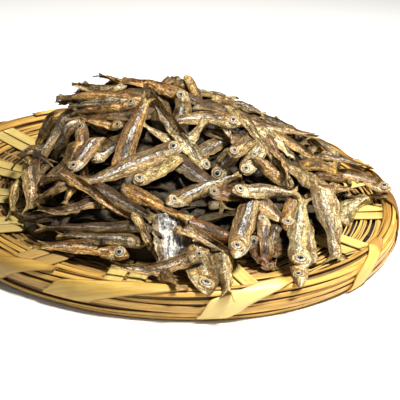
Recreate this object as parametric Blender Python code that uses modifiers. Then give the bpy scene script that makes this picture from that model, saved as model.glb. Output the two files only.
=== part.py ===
"""A heap of dried charales on its round tray of woven splints.

Metres, with +Z up. The origin is the middle of the tray, on the surface it stands on.
"""

import math

import bmesh
import bpy
import numpy as np

OBJECT_NAME = "dried_charales_on_tray"

# The tray's woven floor: flat in the middle, then rising in a curve to the rim
FLOOR_RADIUS = 0.1424
FLOOR_FLAT_RADIUS = 0.050
FLOOR_MIDDLE_TOP = 0.0026
FLOOR_RISE = 0.0062
FLOOR_RISE_SPAN = 0.070
FLOOR_RISE_POWER = 1.8
FLOOR_THICKNESS = 0.0026
FLOOR_RINGS = 8
FLOOR_RING_CROWDING = 0.72
RIM_STEPS = 40

# The hoops bound round the floor's edge, lowest first, then the one that makes the crest
WALL_HOOP_RADII = (0.1464, 0.1470, 0.1456)
WALL_HOOP_HEIGHT = 0.0042
WALL_HOOP_PITCH = 0.0046
WALL_HOOP_THICKNESS = 0.0028
WALL_CENTRE_RADIUS = 0.1430
WALL_HALF_WIDTH = 0.0044
WALL_CENTRE_HEIGHT = 0.0082
WALL_HALF_HEIGHT = 0.0085
CREST_INNER_RADIUS = 0.1402
CREST_OUTER_RADIUS = 0.1456
CREST_BOTTOM = 0.0140
CREST_TOP = 0.0159

# The arms, each a pair of flat strips that run outwards, and the binding ribbon over each arm's end.
# One place has neither
ARMS = 16
EMPTY_ARM = ARMS - 2
FIRST_ARM_ANGLE = math.radians(-6.0)
NUDGED_ARM = ARMS - 3
ARM_NUDGE = math.radians(4.5)
STRIP_WIDTH = 0.0104
STRIP_SPACING = 0.0113
STRIP_THICKNESS = 0.0010
STRIP_GAP = 0.00045
STRIP_RADII = (0.075, 0.098, 0.118, 0.132, 0.1394)
SWUNG_ARM = ARMS - 1
ARM_SWING = math.radians(-22.0)
SWING_RADIUS = 0.118
SWUNG_STRIP_RADII = (0.104, 0.112, 0.120, 0.130, 0.1368)
RIBBON_WIDTH = 0.0094
RIBBON_THICKNESS = 0.0010
RIBBON_STEPS = 6
RIBBON_END_ANGLE = math.radians(112.0)

# How far ahead of its arm a ribbon starts, how far it sweeps round the tray, and where on the rim's
# section it starts, in degrees, with the ribbons at the front that differ
RIBBON_COURSE = (12.0, 21.0, -42.0)
FRONT_RIBBON_COURSES = {
    ARMS - 4: (15.0, 29.0, -6.0),
    NUDGED_ARM: (11.0, 21.0, -26.0),
    ARMS - 1: (15.0, 16.5, -42.0),
}
RIBBON_CLEARANCE = 0.0016
RIM_SECTION_RADIUS = 0.0072
RIM_SECTION_POWER = 0.8

# The heap: its outline on the tray every 30 degrees from +X, and its ridge as (x, y, height)
HEAP_OUTLINE = (0.124, 0.130, 0.134, 0.136, 0.130, 0.112, 0.106, 0.101, 0.122, 0.131, 0.121, 0.120)
HEAP_RIDGE = (
    (-0.086, 0.018, 0.038),
    (-0.072, 0.020, 0.056),
    (-0.052, 0.020, 0.069),
    (-0.010, 0.020, 0.072),
    (0.040, 0.018, 0.062),
    (0.092, 0.026, 0.041),
)
HEAP_SLOPE_POWER = 1.2
HEAP_EDGE_HEIGHT = 0.005
HEAP_EDGE_OVER_CREST = 0.003
HEAP_LEAST_DEPTH = 0.004
HEAP_CLEARANCE = 0.0022
CREST_CLEARANCE = 0.0006
CREST_MARGIN = 0.0035

# The core under the fish, and how far below the heap's form the laying of the fish starts
CORE_SEGMENTS = 22
CORE_RINGS = 12
CORE_CROWDING = 1.3
CORE_SCALE = 0.96
CORE_DEPTH = 0.0049
CORE_LEAST_DEPTH = 0.0006
LAYING_DEPTH = 0.0075
CUTTER_DEPTH = 0.010
CUTTER_GAP = 0.0002

# The fish: those that fill the heap, then how one lies and its sizes
FILLING_FISH = 60
GOLDEN_ANGLE = math.radians(137.5)
FILLING_SCATTER = 0.006
FILLING_REACH = 0.90
FOOT_RADIUS = 0.085
FOOT_SPREAD = 0.65
FISH_SINK = 0.0010
FISH_CONTACTS = 3
FISH_DRAPE = 0.45
STEEPEST_FISH = 0.75
FISH_LENGTH = (0.058, 0.078)
FISH_DEPTH = (0.0100, 0.0122)
FISH_THICKNESS = (0.0050, 0.0064)
FISH_BEND = 0.10
FISH_ROLL = 0.30
FISH_REACH = 0.1485
BELLY_HALF_WIDTH = 0.4
EDGE_DROP = 0.7
CELL = 0.002
FIELD_HALF_SIDE = 0.160
SEED = 20

# The fish that show best on top of the heap: middle x and y, heading in degrees, length
SHOWN_FISH = {
    "back_of_ridge": (0.012, 0.052, 12, 0.070),
    "ridge_left_tip": (-0.060, 0.024, 174, 0.056),
    "along_ridge": (-0.026, 0.030, -4, 0.074),
    "ridge_nub": (0.012, 0.030, 112, 0.042),
    "down_right_of_ridge": (0.052, 0.030, -14, 0.070),
    "right_dark_tip": (0.088, 0.036, -8, 0.066),
    "far_right": (0.116, 0.033, 30, 0.054),
    "right_on_arm": (0.122, 0.006, -176, 0.052),
    "grey_left": (-0.072, -0.020, 77, 0.060),
    "leaf_left": (-0.082, -0.052, -75, 0.062),
    "wide_upright": (-0.020, -0.026, -96, 0.076),
    "across_top": (0.019, -0.007, -158, 0.068),
    "thin_over_right": (0.054, -0.004, -52, 0.062),
    "across_middle": (-0.018, -0.058, -144, 0.074),
    "striped_middle": (0.025, -0.071, 47, 0.064),
    "right_of_middle": (0.060, -0.052, 37, 0.060),
    "dark_front_left": (-0.026, -0.088, -34, 0.062),
    "long_dark_left": (-0.040, -0.106, 173, 0.072),
    "opened_belly": (0.009, -0.106, -68, 0.056),
    "big_silver_head": (0.046, -0.094, 79, 0.060),
    "right_pale_hanging": (0.081, -0.075, -95, 0.076),
    "right_wide_hanging": (0.097, -0.062, -87, 0.076),
    "front_left_low": (-0.040, -0.122, 165, 0.062),
    "front_curved": (0.002, -0.126, -166, 0.066),
    "front_head_down": (0.026, -0.126, 100, 0.046),
    "tail_on_rim": (0.038, -0.122, -72, 0.050),
}

# Section of a fish from snout to tail end: place along it, then depth and thickness as shares
FISH_SECTIONS = (
    (0.02, 0.30, 0.45),
    (0.22, 0.92, 1.00),
    (0.52, 0.96, 0.90),
    (0.86, 0.30, 0.36),
    (1.00, 0.90, 0.22),
)
FISH_SIDES = ((1.0, 0.0), (0.0, 0.5), (-1.0, 0.0), (0.0, -0.5))

SPLINT_GOLD = (0.62, 0.38, 0.13, 1.0)
SPLINT_DARK_GOLD = (0.40, 0.22, 0.06, 1.0)
SPLINT_PALE = (0.80, 0.63, 0.28, 1.0)
FISH_BROWN = (0.27, 0.18, 0.09, 1.0)


def clear_scene():
    for obj in list(bpy.data.objects):
        bpy.data.objects.remove(obj, do_unlink=True)


def new_collection(name):
    collection = bpy.data.collections.new(name)
    bpy.context.scene.collection.children.link(collection)
    return collection


def new_material(name, colour, roughness):
    material = bpy.data.materials.new(name)
    material.use_nodes = True
    shader = material.node_tree.nodes["Principled BSDF"]
    shader.inputs["Base Color"].default_value = colour
    shader.inputs["Roughness"].default_value = roughness
    shader.inputs["Metallic"].default_value = 0.0
    return material


def new_object(name, mesh, collection, material=None):
    obj = bpy.data.objects.new(name, mesh)
    collection.objects.link(obj)
    if material:
        mesh.materials.append(material)
    return obj


def mesh_from(name, build):
    """A mesh that build(bm) fills."""
    bm = bmesh.new()
    build(bm)
    bmesh.ops.recalc_face_normals(bm, faces=bm.faces)
    mesh = bpy.data.meshes.new(name)
    bm.to_mesh(mesh)
    bm.free()
    return mesh


def floor_top(radius):
    """Height of the woven floor's upper face at this distance from the middle."""
    out = np.maximum(0.0, (np.asarray(radius) - FLOOR_FLAT_RADIUS) / FLOOR_RISE_SPAN)
    return FLOOR_MIDDLE_TOP + FLOOR_RISE * out**FLOOR_RISE_POWER


# Turned pieces of the tray


def turned(name, profile, collection, material, closed=True):
    """A profile of (radius, height) points, outer side running down, turned about Z."""

    def build(bm):
        points = [bm.verts.new((radius, 0.0, height)) for radius, height in profile]
        for first, second in zip(points, points[1:]):
            bm.edges.new((first, second))
        if closed:
            bm.edges.new((points[-1], points[0]))

    obj = new_object(name, mesh_from(name, build), collection, material)
    screw = obj.modifiers.new("Turn", "SCREW")
    screw.steps = RIM_STEPS
    screw.render_steps = RIM_STEPS
    screw.use_merge_vertices = True
    screw.merge_threshold = 1e-6
    screw.use_smooth_shade = True
    return obj


def make_floor(collection, material):
    shares = [(i / FLOOR_RINGS) ** FLOOR_RING_CROWDING for i in range(1, FLOOR_RINGS + 1)]
    radii = [FLOOR_RADIUS * share for share in shares if FLOOR_RADIUS * share > FLOOR_FLAT_RADIUS]
    top = [(radius, float(floor_top(radius))) for radius in [0.0, *radii]]
    bottom = [(radius, height - FLOOR_THICKNESS) for radius, height in top]
    return turned("woven_floor", top + bottom[::-1], collection, material, closed=False)


def make_hoops(collection, gold, dark):
    for i, outer in enumerate(WALL_HOOP_RADII):
        low = i * WALL_HOOP_PITCH
        high = low + WALL_HOOP_HEIGHT
        inner = outer - WALL_HOOP_THICKNESS
        profile = [(inner, high), (outer, high), (outer, low), (inner, low)]
        turned(f"wall_hoop_{i + 1}", profile, collection, (gold, dark)[i % 2])
    shoulder = (CREST_OUTER_RADIUS - CREST_INNER_RADIUS) * 0.25
    profile = [
        (CREST_INNER_RADIUS, CREST_BOTTOM),
        (CREST_INNER_RADIUS + shoulder, CREST_TOP),
        (CREST_OUTER_RADIUS - shoulder, CREST_TOP),
        (CREST_OUTER_RADIUS, CREST_BOTTOM),
    ]
    turned("crest_hoop", profile, collection, gold)


# Flat splint strips of the tray


def strip(name, rows, thickness, collection, material):
    """A strip through rows of points, made thick to both sides of them."""

    def build(bm):
        made = [[bm.verts.new(point) for point in row] for row in rows]
        for near, far in zip(made, made[1:]):
            for i in range(len(near) - 1):
                bm.faces.new((near[i], far[i], far[i + 1], near[i + 1]))

    obj = new_object(name, mesh_from(name, build), collection, material)
    solidify = obj.modifiers.new("Thickness", "SOLIDIFY")
    solidify.thickness = thickness
    solidify.offset = 0.0
    solidify.use_even_offset = True
    return obj


def arm_angle(index):
    nudge = ARM_NUDGE if index == NUDGED_ARM else 0.0
    return FIRST_ARM_ANGLE + index * math.tau / ARMS + nudge


def strip_point(index, along, aside):
    """A point on an arm, at the height where the strip clears the floor. One arm is swung aside."""
    angle = arm_angle(index)
    swing = ARM_SWING if index == SWUNG_ARM else 0.0
    out = along - SWING_RADIUS
    forward = SWING_RADIUS + out * math.cos(swing) - aside * math.sin(swing)
    sideways = out * math.sin(swing) + aside * math.cos(swing)
    x = forward * math.cos(angle) - sideways * math.sin(angle)
    y = forward * math.sin(angle) + sideways * math.cos(angle)
    return (x, y, float(floor_top(math.hypot(x, y))) + STRIP_GAP + STRIP_THICKNESS / 2)


def make_arms(collection, material):
    for index in range(ARMS):
        if index == EMPTY_ARM:
            continue
        radii = SWUNG_STRIP_RADII if index == SWUNG_ARM else STRIP_RADII
        for side, letter in ((-1, "a"), (1, "b")):
            middle = side * STRIP_SPACING / 2
            edges = (middle - STRIP_WIDTH / 2, middle + STRIP_WIDTH / 2)
            rows = [[strip_point(index, radius, edge) for edge in edges] for radius in radii]
            strip(f"arm_{index + 1:02d}_{letter}", rows, STRIP_THICKNESS, collection, material)


def rim_point(section_angle, angle):
    """A point just outside the bound rim: section_angle runs from under it, round the wall, to inside."""
    clearance = RIBBON_CLEARANCE + RIBBON_THICKNESS / 2
    out = math.copysign(abs(math.cos(section_angle)) ** RIM_SECTION_POWER, math.cos(section_angle))
    up = math.copysign(abs(math.sin(section_angle)) ** RIM_SECTION_POWER, math.sin(section_angle))
    radius = WALL_CENTRE_RADIUS + (WALL_HALF_WIDTH + clearance) * out
    height = WALL_CENTRE_HEIGHT + (WALL_HALF_HEIGHT + clearance) * up
    return (radius * math.cos(angle), radius * math.sin(angle), height)


def make_ribbons(collection, material):
    """Each ribbon climbs the wall and folds over the crest, where it covers an arm's end."""
    half_turn = RIBBON_WIDTH / 2 / RIM_SECTION_RADIUS
    for index in range(ARMS):
        if index == EMPTY_ARM:
            continue
        course = FRONT_RIBBON_COURSES.get(index, RIBBON_COURSE)
        lead, sweep, first = (math.radians(value) for value in course)
        rows = []
        for step in range(RIBBON_STEPS + 1):
            share = step / RIBBON_STEPS
            middle = first + (RIBBON_END_ANGLE - first) * share
            low = max(first, middle - half_turn)
            high = min(RIBBON_END_ANGLE, middle + half_turn)
            angle = arm_angle(index) - lead + sweep * share
            rows.append([rim_point(low + (high - low) * i / 2, angle) for i in range(3)])
        strip(f"ribbon_{index + 1:02d}", rows, RIBBON_THICKNESS, collection, material)


# The form of the heap


def outline_radius(angle):
    """The heap's reach in this direction, eased between its named radii."""
    turns = np.mod(np.degrees(angle), 360.0) / 30.0
    first = np.floor(turns).astype(int) % 12
    ease = 0.5 - 0.5 * np.cos(math.pi * (turns - np.floor(turns)))
    radii = np.array(HEAP_OUTLINE)
    return radii[first] * (1.0 - ease) + radii[(first + 1) % 12] * ease


def nearest_on_ridge(x, y):
    """Distance to the ridge in plan, and the ridge's height there."""
    distance = np.full(np.shape(x), np.inf)
    height = np.zeros(np.shape(x))
    for start, end in zip(HEAP_RIDGE, HEAP_RIDGE[1:]):
        run_x, run_y = end[0] - start[0], end[1] - start[1]
        share = ((x - start[0]) * run_x + (y - start[1]) * run_y) / (run_x**2 + run_y**2)
        share = np.clip(share, 0.0, 1.0)
        away = np.hypot(x - start[0] - share * run_x, y - start[1] - share * run_y)
        closer = away < distance
        distance = np.where(closer, away, distance)
        height = np.where(closer, start[2] + share * (end[2] - start[2]), height)
    return distance, height


def heap_top(x, y):
    """Height of the heap's smooth form, falling from its ridge to its outline."""
    radius = np.hypot(x, y)
    reach = outline_radius(np.arctan2(y, x))
    away, ridge = nearest_on_ridge(x, y)
    inside = np.maximum(reach - radius, 0.0)
    share = away / (away + inside + 1e-9)
    on_floor = floor_top(reach) + HEAP_EDGE_HEIGHT
    edge = np.where(reach > CREST_INNER_RADIUS, CREST_TOP + HEAP_EDGE_OVER_CREST, on_floor)
    top = edge + (ridge - edge) * (1.0 - share**HEAP_SLOPE_POWER)
    return np.where(radius < reach, np.maximum(top, floor_top(radius) + HEAP_LEAST_DEPTH), 0.0)


def tray_top(radius):
    """Lowest height at which the heap clears the floor, the arms and the bound rim."""
    radius = np.asarray(radius)
    over_floor = floor_top(radius) + HEAP_CLEARANCE
    crest = WALL_CENTRE_HEIGHT + WALL_HALF_HEIGHT + RIBBON_CLEARANCE + RIBBON_THICKNESS + CREST_CLEARANCE
    return np.where(radius > CREST_INNER_RADIUS - CREST_MARGIN, crest, over_floor)


# The fish


def field_index(value):
    last = int(2 * FIELD_HALF_SIDE / CELL)
    return np.clip(np.rint((value + FIELD_HALF_SIDE) / CELL).astype(int), 0, last)


def fish_line(middle, heading, length, bend, samples=9):
    """Plan points along a fish from snout to tail, bent sideways by a share of its length."""
    along = np.linspace(-0.5, 0.5, samples)
    aside = bend * (0.25 - along**2) * 4.0 * length
    x = middle[0] + along * length * math.cos(heading) - aside * math.sin(heading)
    y = middle[1] + along * length * math.sin(heading) + aside * math.cos(heading)
    return x, y


def resting_heights(field, x, y, half_width, half_thickness):
    """Heights of a stiff fish that lies on what is already there and bends to it only in part."""
    heading = math.atan2(y[-1] - y[0], x[-1] - x[0])
    under = np.zeros(len(x))
    for aside in (-half_width, 0.0, half_width):
        rows = field_index(y + aside * math.cos(heading))
        columns = field_index(x - aside * math.sin(heading))
        under += field[rows, columns] / 3.0
    under += half_thickness
    places = np.linspace(-0.5, 0.5, len(x))
    slope, level = np.polyfit(places, under, 1)
    steepest = STEEPEST_FISH * math.hypot(x[-1] - x[0], y[-1] - y[0])
    slope = min(max(slope, -steepest), steepest)
    straight = level + slope * places
    curved = straight + FISH_DRAPE * (under - straight)
    curved[1:-1] = (curved[:-2] + 2.0 * curved[1:-1] + curved[2:]) / 4.0
    return curved + np.sort(under - curved)[-FISH_CONTACTS] - FISH_SINK


def fish_frame(centre):
    """Unit directions along a fish and level across it, at each point of its line."""
    along = np.gradient(centre, axis=0)
    along /= np.linalg.norm(along, axis=1)[:, None]
    across = np.cross((0.0, 0.0, 1.0), along)
    across /= np.linalg.norm(across, axis=1)[:, None]
    return along, across


def fish_mesh(name, centre, depth, thickness, roll):
    """A fish of few sides along its line: a loft from snout to spread tail, then a point at the snout."""
    along, across = fish_frame(centre)
    upward = np.cross(along, across)
    belly = across * math.cos(roll) + upward * math.sin(roll)
    flank = np.cross(along, belly)
    places = np.linspace(0.0, 1.0, len(centre))

    def at(values, place):
        return np.array([np.interp(place, places, values[:, i]) for i in range(3)])

    def build(bm):
        rings = []
        for place, deep, thick in FISH_SECTIONS:
            middle = at(centre, place)
            down, side = at(belly, place), at(flank, place)
            corners = [
                middle + down * (u * deep * depth / 2) + side * (v * thick * thickness)
                for u, v in FISH_SIDES
            ]
            rings.append([bm.verts.new(corner) for corner in corners])
        count = len(FISH_SIDES)
        for near, far in zip(rings, rings[1:]):
            for i in range(count):
                bm.faces.new((near[i], near[(i + 1) % count], far[(i + 1) % count], far[i]))
        bm.faces.new(rings[0][::-1])
        bm.faces.new(rings[-1])

    return mesh_from(name, build)


def stamp(field, x, y, z, half_width, half_thickness):
    """Raises the field to the upper side of a fish that has been laid."""
    places = np.linspace(0.0, 1.0, 40)
    coarse = np.linspace(0.0, 1.0, len(x))
    fx, fy, fz = (np.interp(places, coarse, values) for values in (x, y, z))
    heading = math.atan2(y[-1] - y[0], x[-1] - x[0])
    for aside in np.linspace(-1.0, 1.0, 9):
        rows = field_index(fy + aside * half_width * math.cos(heading))
        columns = field_index(fx - aside * half_width * math.sin(heading))
        np.maximum.at(field, (rows, columns), fz + half_thickness * (1.0 - EDGE_DROP * aside**2))


def make_core(collection):
    """The inner mound that backs the fish: a ball whose points are moved onto the heap's form."""
    bm = bmesh.new()
    bmesh.ops.create_uvsphere(bm, u_segments=CORE_SEGMENTS, v_segments=CORE_RINGS, radius=1.0)
    for vert in bm.verts:
        angle = math.atan2(vert.co.y, vert.co.x)
        share = math.hypot(vert.co.x, vert.co.y) ** CORE_CROWDING
        radius = share * CORE_SCALE * float(outline_radius(angle))
        x, y = radius * math.cos(angle), radius * math.sin(angle)
        low = float(tray_top(radius))
        high = max(low + CORE_LEAST_DEPTH, float(heap_top(x, y)) - CORE_DEPTH)
        if vert.co.z < -1e-6:
            height = low
        elif vert.co.z > 1e-6:
            height = high
        else:
            height = (low + high) / 2
        vert.co = (x, y, height)
    mesh = bpy.data.meshes.new("core")
    bm.to_mesh(mesh)
    bm.free()
    return new_object("core", mesh, collection)


def lay_one(field, collection, name, middle, heading, length, draws):
    """Lays one fish on what is already there, drawn inwards where it would reach past the rim."""
    depth = draws.uniform(*FISH_DEPTH)
    thickness = draws.uniform(*FISH_THICKNESS)
    bend = draws.uniform(-FISH_BEND, FISH_BEND)
    roll = draws.normal(0.0, FISH_ROLL)
    middle = np.array(middle)
    x, y = fish_line(middle, heading, length, bend)
    reach = np.hypot(x, y).max() + depth / 2
    if reach > FISH_REACH:
        middle *= 1.0 - (reach - FISH_REACH) / np.hypot(*middle)
        x, y = fish_line(middle, heading, length, bend)
    z = resting_heights(field, x, y, depth * BELLY_HALF_WIDTH, thickness / 2)
    mesh = fish_mesh(name, np.stack([x, y, z], axis=1), depth, thickness, roll)
    new_object(name, mesh, collection)
    stamp(field, x, y, z, depth / 2, thickness / 2)


def lay_filling_fish(field, collection, draws):
    """Lays fish spread evenly over the heap, the outer ones first and lying round its foot."""
    for index in reversed(range(FILLING_FISH)):
        angle = index * GOLDEN_ANGLE
        share = FILLING_REACH * math.sqrt((index + 0.5) / FILLING_FISH)
        radius = share * float(outline_radius(angle)) + draws.normal(0.0, FILLING_SCATTER)
        middle = (radius * math.cos(angle), radius * math.sin(angle))
        heading = draws.uniform(-math.pi, math.pi)
        if radius > FOOT_RADIUS:
            heading = angle + draws.normal(math.pi / 2, FOOT_SPREAD)
        length = draws.uniform(*FISH_LENGTH)
        lay_one(field, collection, f"fish_{index}", middle, heading, length, draws)


def lay_shown_fish(field, collection, draws):
    for name, (x, y, heading, length) in SHOWN_FISH.items():
        lay_one(field, collection, name, (x, y), math.radians(heading), length, draws)


def start_field():
    """Heights of the bare core and tray, which the fish are laid on."""
    side = np.linspace(-FIELD_HALF_SIDE, FIELD_HALF_SIDE, int(2 * FIELD_HALF_SIDE / CELL) + 1)
    grid_x, grid_y = np.meshgrid(side, side)
    radius = np.hypot(grid_x, grid_y)
    return np.maximum(tray_top(radius), heap_top(grid_x, grid_y) - LAYING_DEPTH)


def make_tray_envelope(collection):
    """What the heap must stay clear of: the tray with its arms and ribbons, as one turned cutter."""
    wall_reach = WALL_HALF_WIDTH + RIBBON_CLEARANCE + RIBBON_THICKNESS + CREST_CLEARANCE
    outside = WALL_CENTRE_RADIUS + wall_reach
    inner = CREST_INNER_RADIUS - CREST_MARGIN
    radii = [0.0] + [inner * i / FLOOR_RINGS for i in range(3, FLOOR_RINGS + 1)]
    top = [(radius, float(tray_top(radius)) - CUTTER_GAP) for radius in radii]
    crest = float(tray_top(FLOOR_RADIUS)) - CUTTER_GAP
    top += [(inner + CUTTER_GAP, crest), (outside, crest), (outside, -CUTTER_DEPTH), (0.0, -CUTTER_DEPTH)]
    cutter = turned("tray_envelope", top, collection, None, closed=False)
    cutter.hide_render = True
    cutter.display_type = "WIRE"
    return cutter


def keep_largest_piece(mesh):
    """Drops loose scraps and sealed hollows, which are islands apart from the outer skin."""
    bm = bmesh.new()
    bm.from_mesh(mesh)
    bm.verts.ensure_lookup_table()
    islands = []
    seen = set()
    for vert in bm.verts:
        if vert.index in seen:
            continue
        island, waiting = [], [vert]
        seen.add(vert.index)
        while waiting:
            current = waiting.pop()
            island.append(current)
            for edge in current.link_edges:
                other = edge.other_vert(current)
                if other.index not in seen:
                    seen.add(other.index)
                    waiting.append(other)
        islands.append(island)
    islands.sort(key=len, reverse=True)
    for island in islands[1:]:
        bmesh.ops.delete(bm, geom=island, context="VERTS")
    bmesh.ops.triangulate(bm, faces=bm.faces)
    bm.to_mesh(mesh)
    bm.free()


def apply_boolean(obj, operation, collection=None, other=None):
    """Applies one Boolean to obj at once."""
    boolean = obj.modifiers.new("Join", "BOOLEAN")
    boolean.operation = operation
    boolean.solver = "MANIFOLD"
    if collection:
        boolean.operand_type = "COLLECTION"
        boolean.collection = collection
    else:
        boolean.object = other
    graph = bpy.context.evaluated_depsgraph_get()
    mesh = bpy.data.meshes.new_from_object(obj.evaluated_get(graph))
    obj.modifiers.clear()
    old = obj.data
    obj.data = mesh
    bpy.data.meshes.remove(old)


def make_heap(collection, cutters, material):
    """The fish fused onto the core, cut clear of the tray below."""
    pieces = new_collection("heap_pieces")
    field = start_field()
    draws = np.random.default_rng(SEED)
    lay_filling_fish(field, pieces, draws)
    lay_shown_fish(field, pieces, draws)
    heap = make_core(collection)
    bpy.context.view_layer.update()
    apply_boolean(heap, "UNION", collection=pieces)
    cutter = make_tray_envelope(cutters)
    bpy.context.view_layer.update()
    apply_boolean(heap, "DIFFERENCE", other=cutter)
    for piece in list(pieces.objects):
        bpy.data.objects.remove(piece, do_unlink=True)
    bpy.data.collections.remove(pieces)
    keep_largest_piece(heap.data)
    heap.name = "heap"
    heap.data.name = "heap"
    heap.data.materials.clear()
    heap.data.materials.append(material)
    return heap


def main():
    clear_scene()
    parts = new_collection(OBJECT_NAME)
    cutters = new_collection("cutters")
    gold = new_material("golden_splint", SPLINT_GOLD, 0.55)
    dark = new_material("dark_splint", SPLINT_DARK_GOLD, 0.6)
    pale = new_material("pale_splint", SPLINT_PALE, 0.5)
    fish = new_material("dried_fish", FISH_BROWN, 0.6)
    make_floor(parts, dark)
    make_hoops(parts, gold, dark)
    make_arms(parts, pale)
    make_ribbons(parts, gold)
    make_heap(parts, cutters, fish)


main()
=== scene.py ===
"""The looks of a heap of dried charales on its round tray of woven splints.

Metres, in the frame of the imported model: +Z up, the origin in the middle of the tray on the surface it
stands on. The fish that show are placed by where the photograph has them, on the same form as the solid.
"""

import math
from collections import namedtuple

import bpy
import numpy as np
from mathutils import Matrix


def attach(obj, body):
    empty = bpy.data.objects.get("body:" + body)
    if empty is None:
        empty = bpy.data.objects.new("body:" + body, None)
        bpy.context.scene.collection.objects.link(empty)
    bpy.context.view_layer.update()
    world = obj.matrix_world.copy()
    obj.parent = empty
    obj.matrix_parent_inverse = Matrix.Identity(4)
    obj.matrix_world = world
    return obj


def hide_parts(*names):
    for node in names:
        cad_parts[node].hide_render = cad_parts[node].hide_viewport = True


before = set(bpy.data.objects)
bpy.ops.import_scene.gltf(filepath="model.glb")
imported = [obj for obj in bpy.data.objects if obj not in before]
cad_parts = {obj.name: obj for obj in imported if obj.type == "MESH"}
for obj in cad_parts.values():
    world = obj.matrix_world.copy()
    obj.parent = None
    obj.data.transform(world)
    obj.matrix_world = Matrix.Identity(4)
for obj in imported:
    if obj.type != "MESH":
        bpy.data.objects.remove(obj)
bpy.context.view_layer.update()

# The tray, as in the solids
FLOOR_FLAT_RADIUS = 0.050
FLOOR_MIDDLE_TOP = 0.0026
FLOOR_RISE = 0.0062
FLOOR_RISE_SPAN = 0.070
FLOOR_RISE_POWER = 1.8
FLOOR_THICKNESS = 0.0026
WALL_CENTRE_RADIUS = 0.1430
WALL_HALF_WIDTH = 0.0044
WALL_CENTRE_HEIGHT = 0.0082
WALL_HALF_HEIGHT = 0.0085
RIM_SECTION_POWER = 0.8
CREST_INNER_RADIUS = 0.1402
CREST_TOP = 0.0159
RIM_OUTER_RADIUS = 0.149
ARMS = 16
EMPTY_ARM = ARMS - 2
FIRST_ARM_ANGLE = math.radians(-6.0)
NUDGED_ARM = ARMS - 3
ARM_NUDGE = math.radians(4.5)
SWUNG_ARM = ARMS - 1
ARM_SWING = math.radians(-22.0)
SWING_RADIUS = 0.118
ARM_REACH = (0.075, 0.1394)
SWUNG_ARM_REACH = (0.104, 0.1368)
STRIP_WIDTH = 0.0104
STRIP_SPACING = 0.0113
STRIP_GAP = 0.00045
STRIP_HALF_THICKNESS = 0.0005
RIBBON_WIDTH = 0.0094
RIBBON_HALF_THICKNESS = 0.0004
RIBBON_CLEARANCE = 0.0014
RIBBON_END_ANGLE = math.radians(112.0)
# Each ribbon's lead on its arm, its sweep round the rim and where its section starts, in degrees
RIBBON_COURSE = (12.0, 21.0, -42.0)
FRONT_RIBBON_COURSES = {
    ARMS - 4: (15.0, 29.0, -6.0),
    NUDGED_ARM: (11.0, 21.0, -26.0),
    ARMS - 1: (15.0, 16.5, -42.0),
}
RIM_SECTION_RADIUS = 0.0072
RIM_LEAST_HEIGHT = 0.0017
SHOWN_ARMS = [index for index in range(ARMS) if index != EMPTY_ARM]

# The heap's form, as in the solids: its outline every 30 degrees from +X, and its ridge as (x, y, height)
HEAP_OUTLINE = (0.124, 0.130, 0.134, 0.136, 0.130, 0.112, 0.106, 0.101, 0.122, 0.131, 0.121, 0.120)
HEAP_RIDGE = (
    (-0.086, 0.018, 0.038),
    (-0.072, 0.020, 0.056),
    (-0.052, 0.020, 0.069),
    (-0.010, 0.020, 0.072),
    (0.040, 0.018, 0.062),
    (0.092, 0.026, 0.041),
)
HEAP_SLOPE_POWER = 1.2
HEAP_EDGE_HEIGHT = 0.005
HEAP_EDGE_OVER_CREST = 0.003
HEAP_LEAST_DEPTH = 0.004
HEAP_CLEARANCE = 0.0014

# The camera that sees the part as the photograph does, 400 pixels square
CAMERA_PLACE = np.array((0.02202, -0.53504, 0.24147))
CAMERA_ELEVATION = math.radians(24.0)
CAMERA_ROLL = math.radians(5.1)
LENS = 81.0
SENSOR = 36.0
IMAGE_SIDE = 400.0
PIXELS_FOCAL = LENS / SENSOR * IMAGE_SIDE

# The light, as a place, a size, a power and a tint
KEY_LIGHT = ((0.40, -0.14, 1.02), 0.28, 29.0, (1.0, 0.98, 0.94))
FILL_LIGHT = ((-0.20, -1.05, 0.80), 0.9, 1.9, (1.0, 0.99, 0.97))
WORLD_LIGHT = 0.035
STAGE_HALF_SIDE = 3.0

# The tray's weave and splints
STAKES = 64
STAKE_HALF_SIZE = (0.0012, 0.00045)
WEAVE_INNER_RADIUS = 0.014
WEAVE_OUTER_RADIUS = 0.1395
STRAND_PITCH = 0.0028
STRAND_HALF_SIZE = (0.00112, 0.00068)
STRAND_WAVE = 0.00050
WALL_SPLINTS = 10
WALL_SPLINT_SPAN = (math.radians(-64.0), math.radians(158.0))
WALL_SPLINT_HALF_THICKNESS = 0.00042
STRIP_LEAN = 0.00025
STRIP_WAVE = 0.00012
STRIP_WIDTH_SHARES = (0.97, 1.02)
WALL_SPLINT_WIDTH_SHARES = (0.92, 1.14)
EDGE_SPLINT_WIDTH_SHARES = (0.8, 1.1)
EDGE_SPLINTS = 6
EDGE_SPLINT_RADII = (0.1215, 0.1375)
EDGE_SPLINT_HALF_SIZE = (0.00135, 0.0003)
RIM_CORE_HALF_SIZE = (0.0037, 0.0079)
RIM_CORE_SHADE = 0.35
# How light they are, and up or down by how much
STRAND_SHADES = (0.80, 0.20)
WALL_SPLINT_SHADES = (0.97, 0.16)
EDGE_SPLINT_SHADES = (0.86, 0.20)
STAKE_SHADE = 0.75

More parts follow.
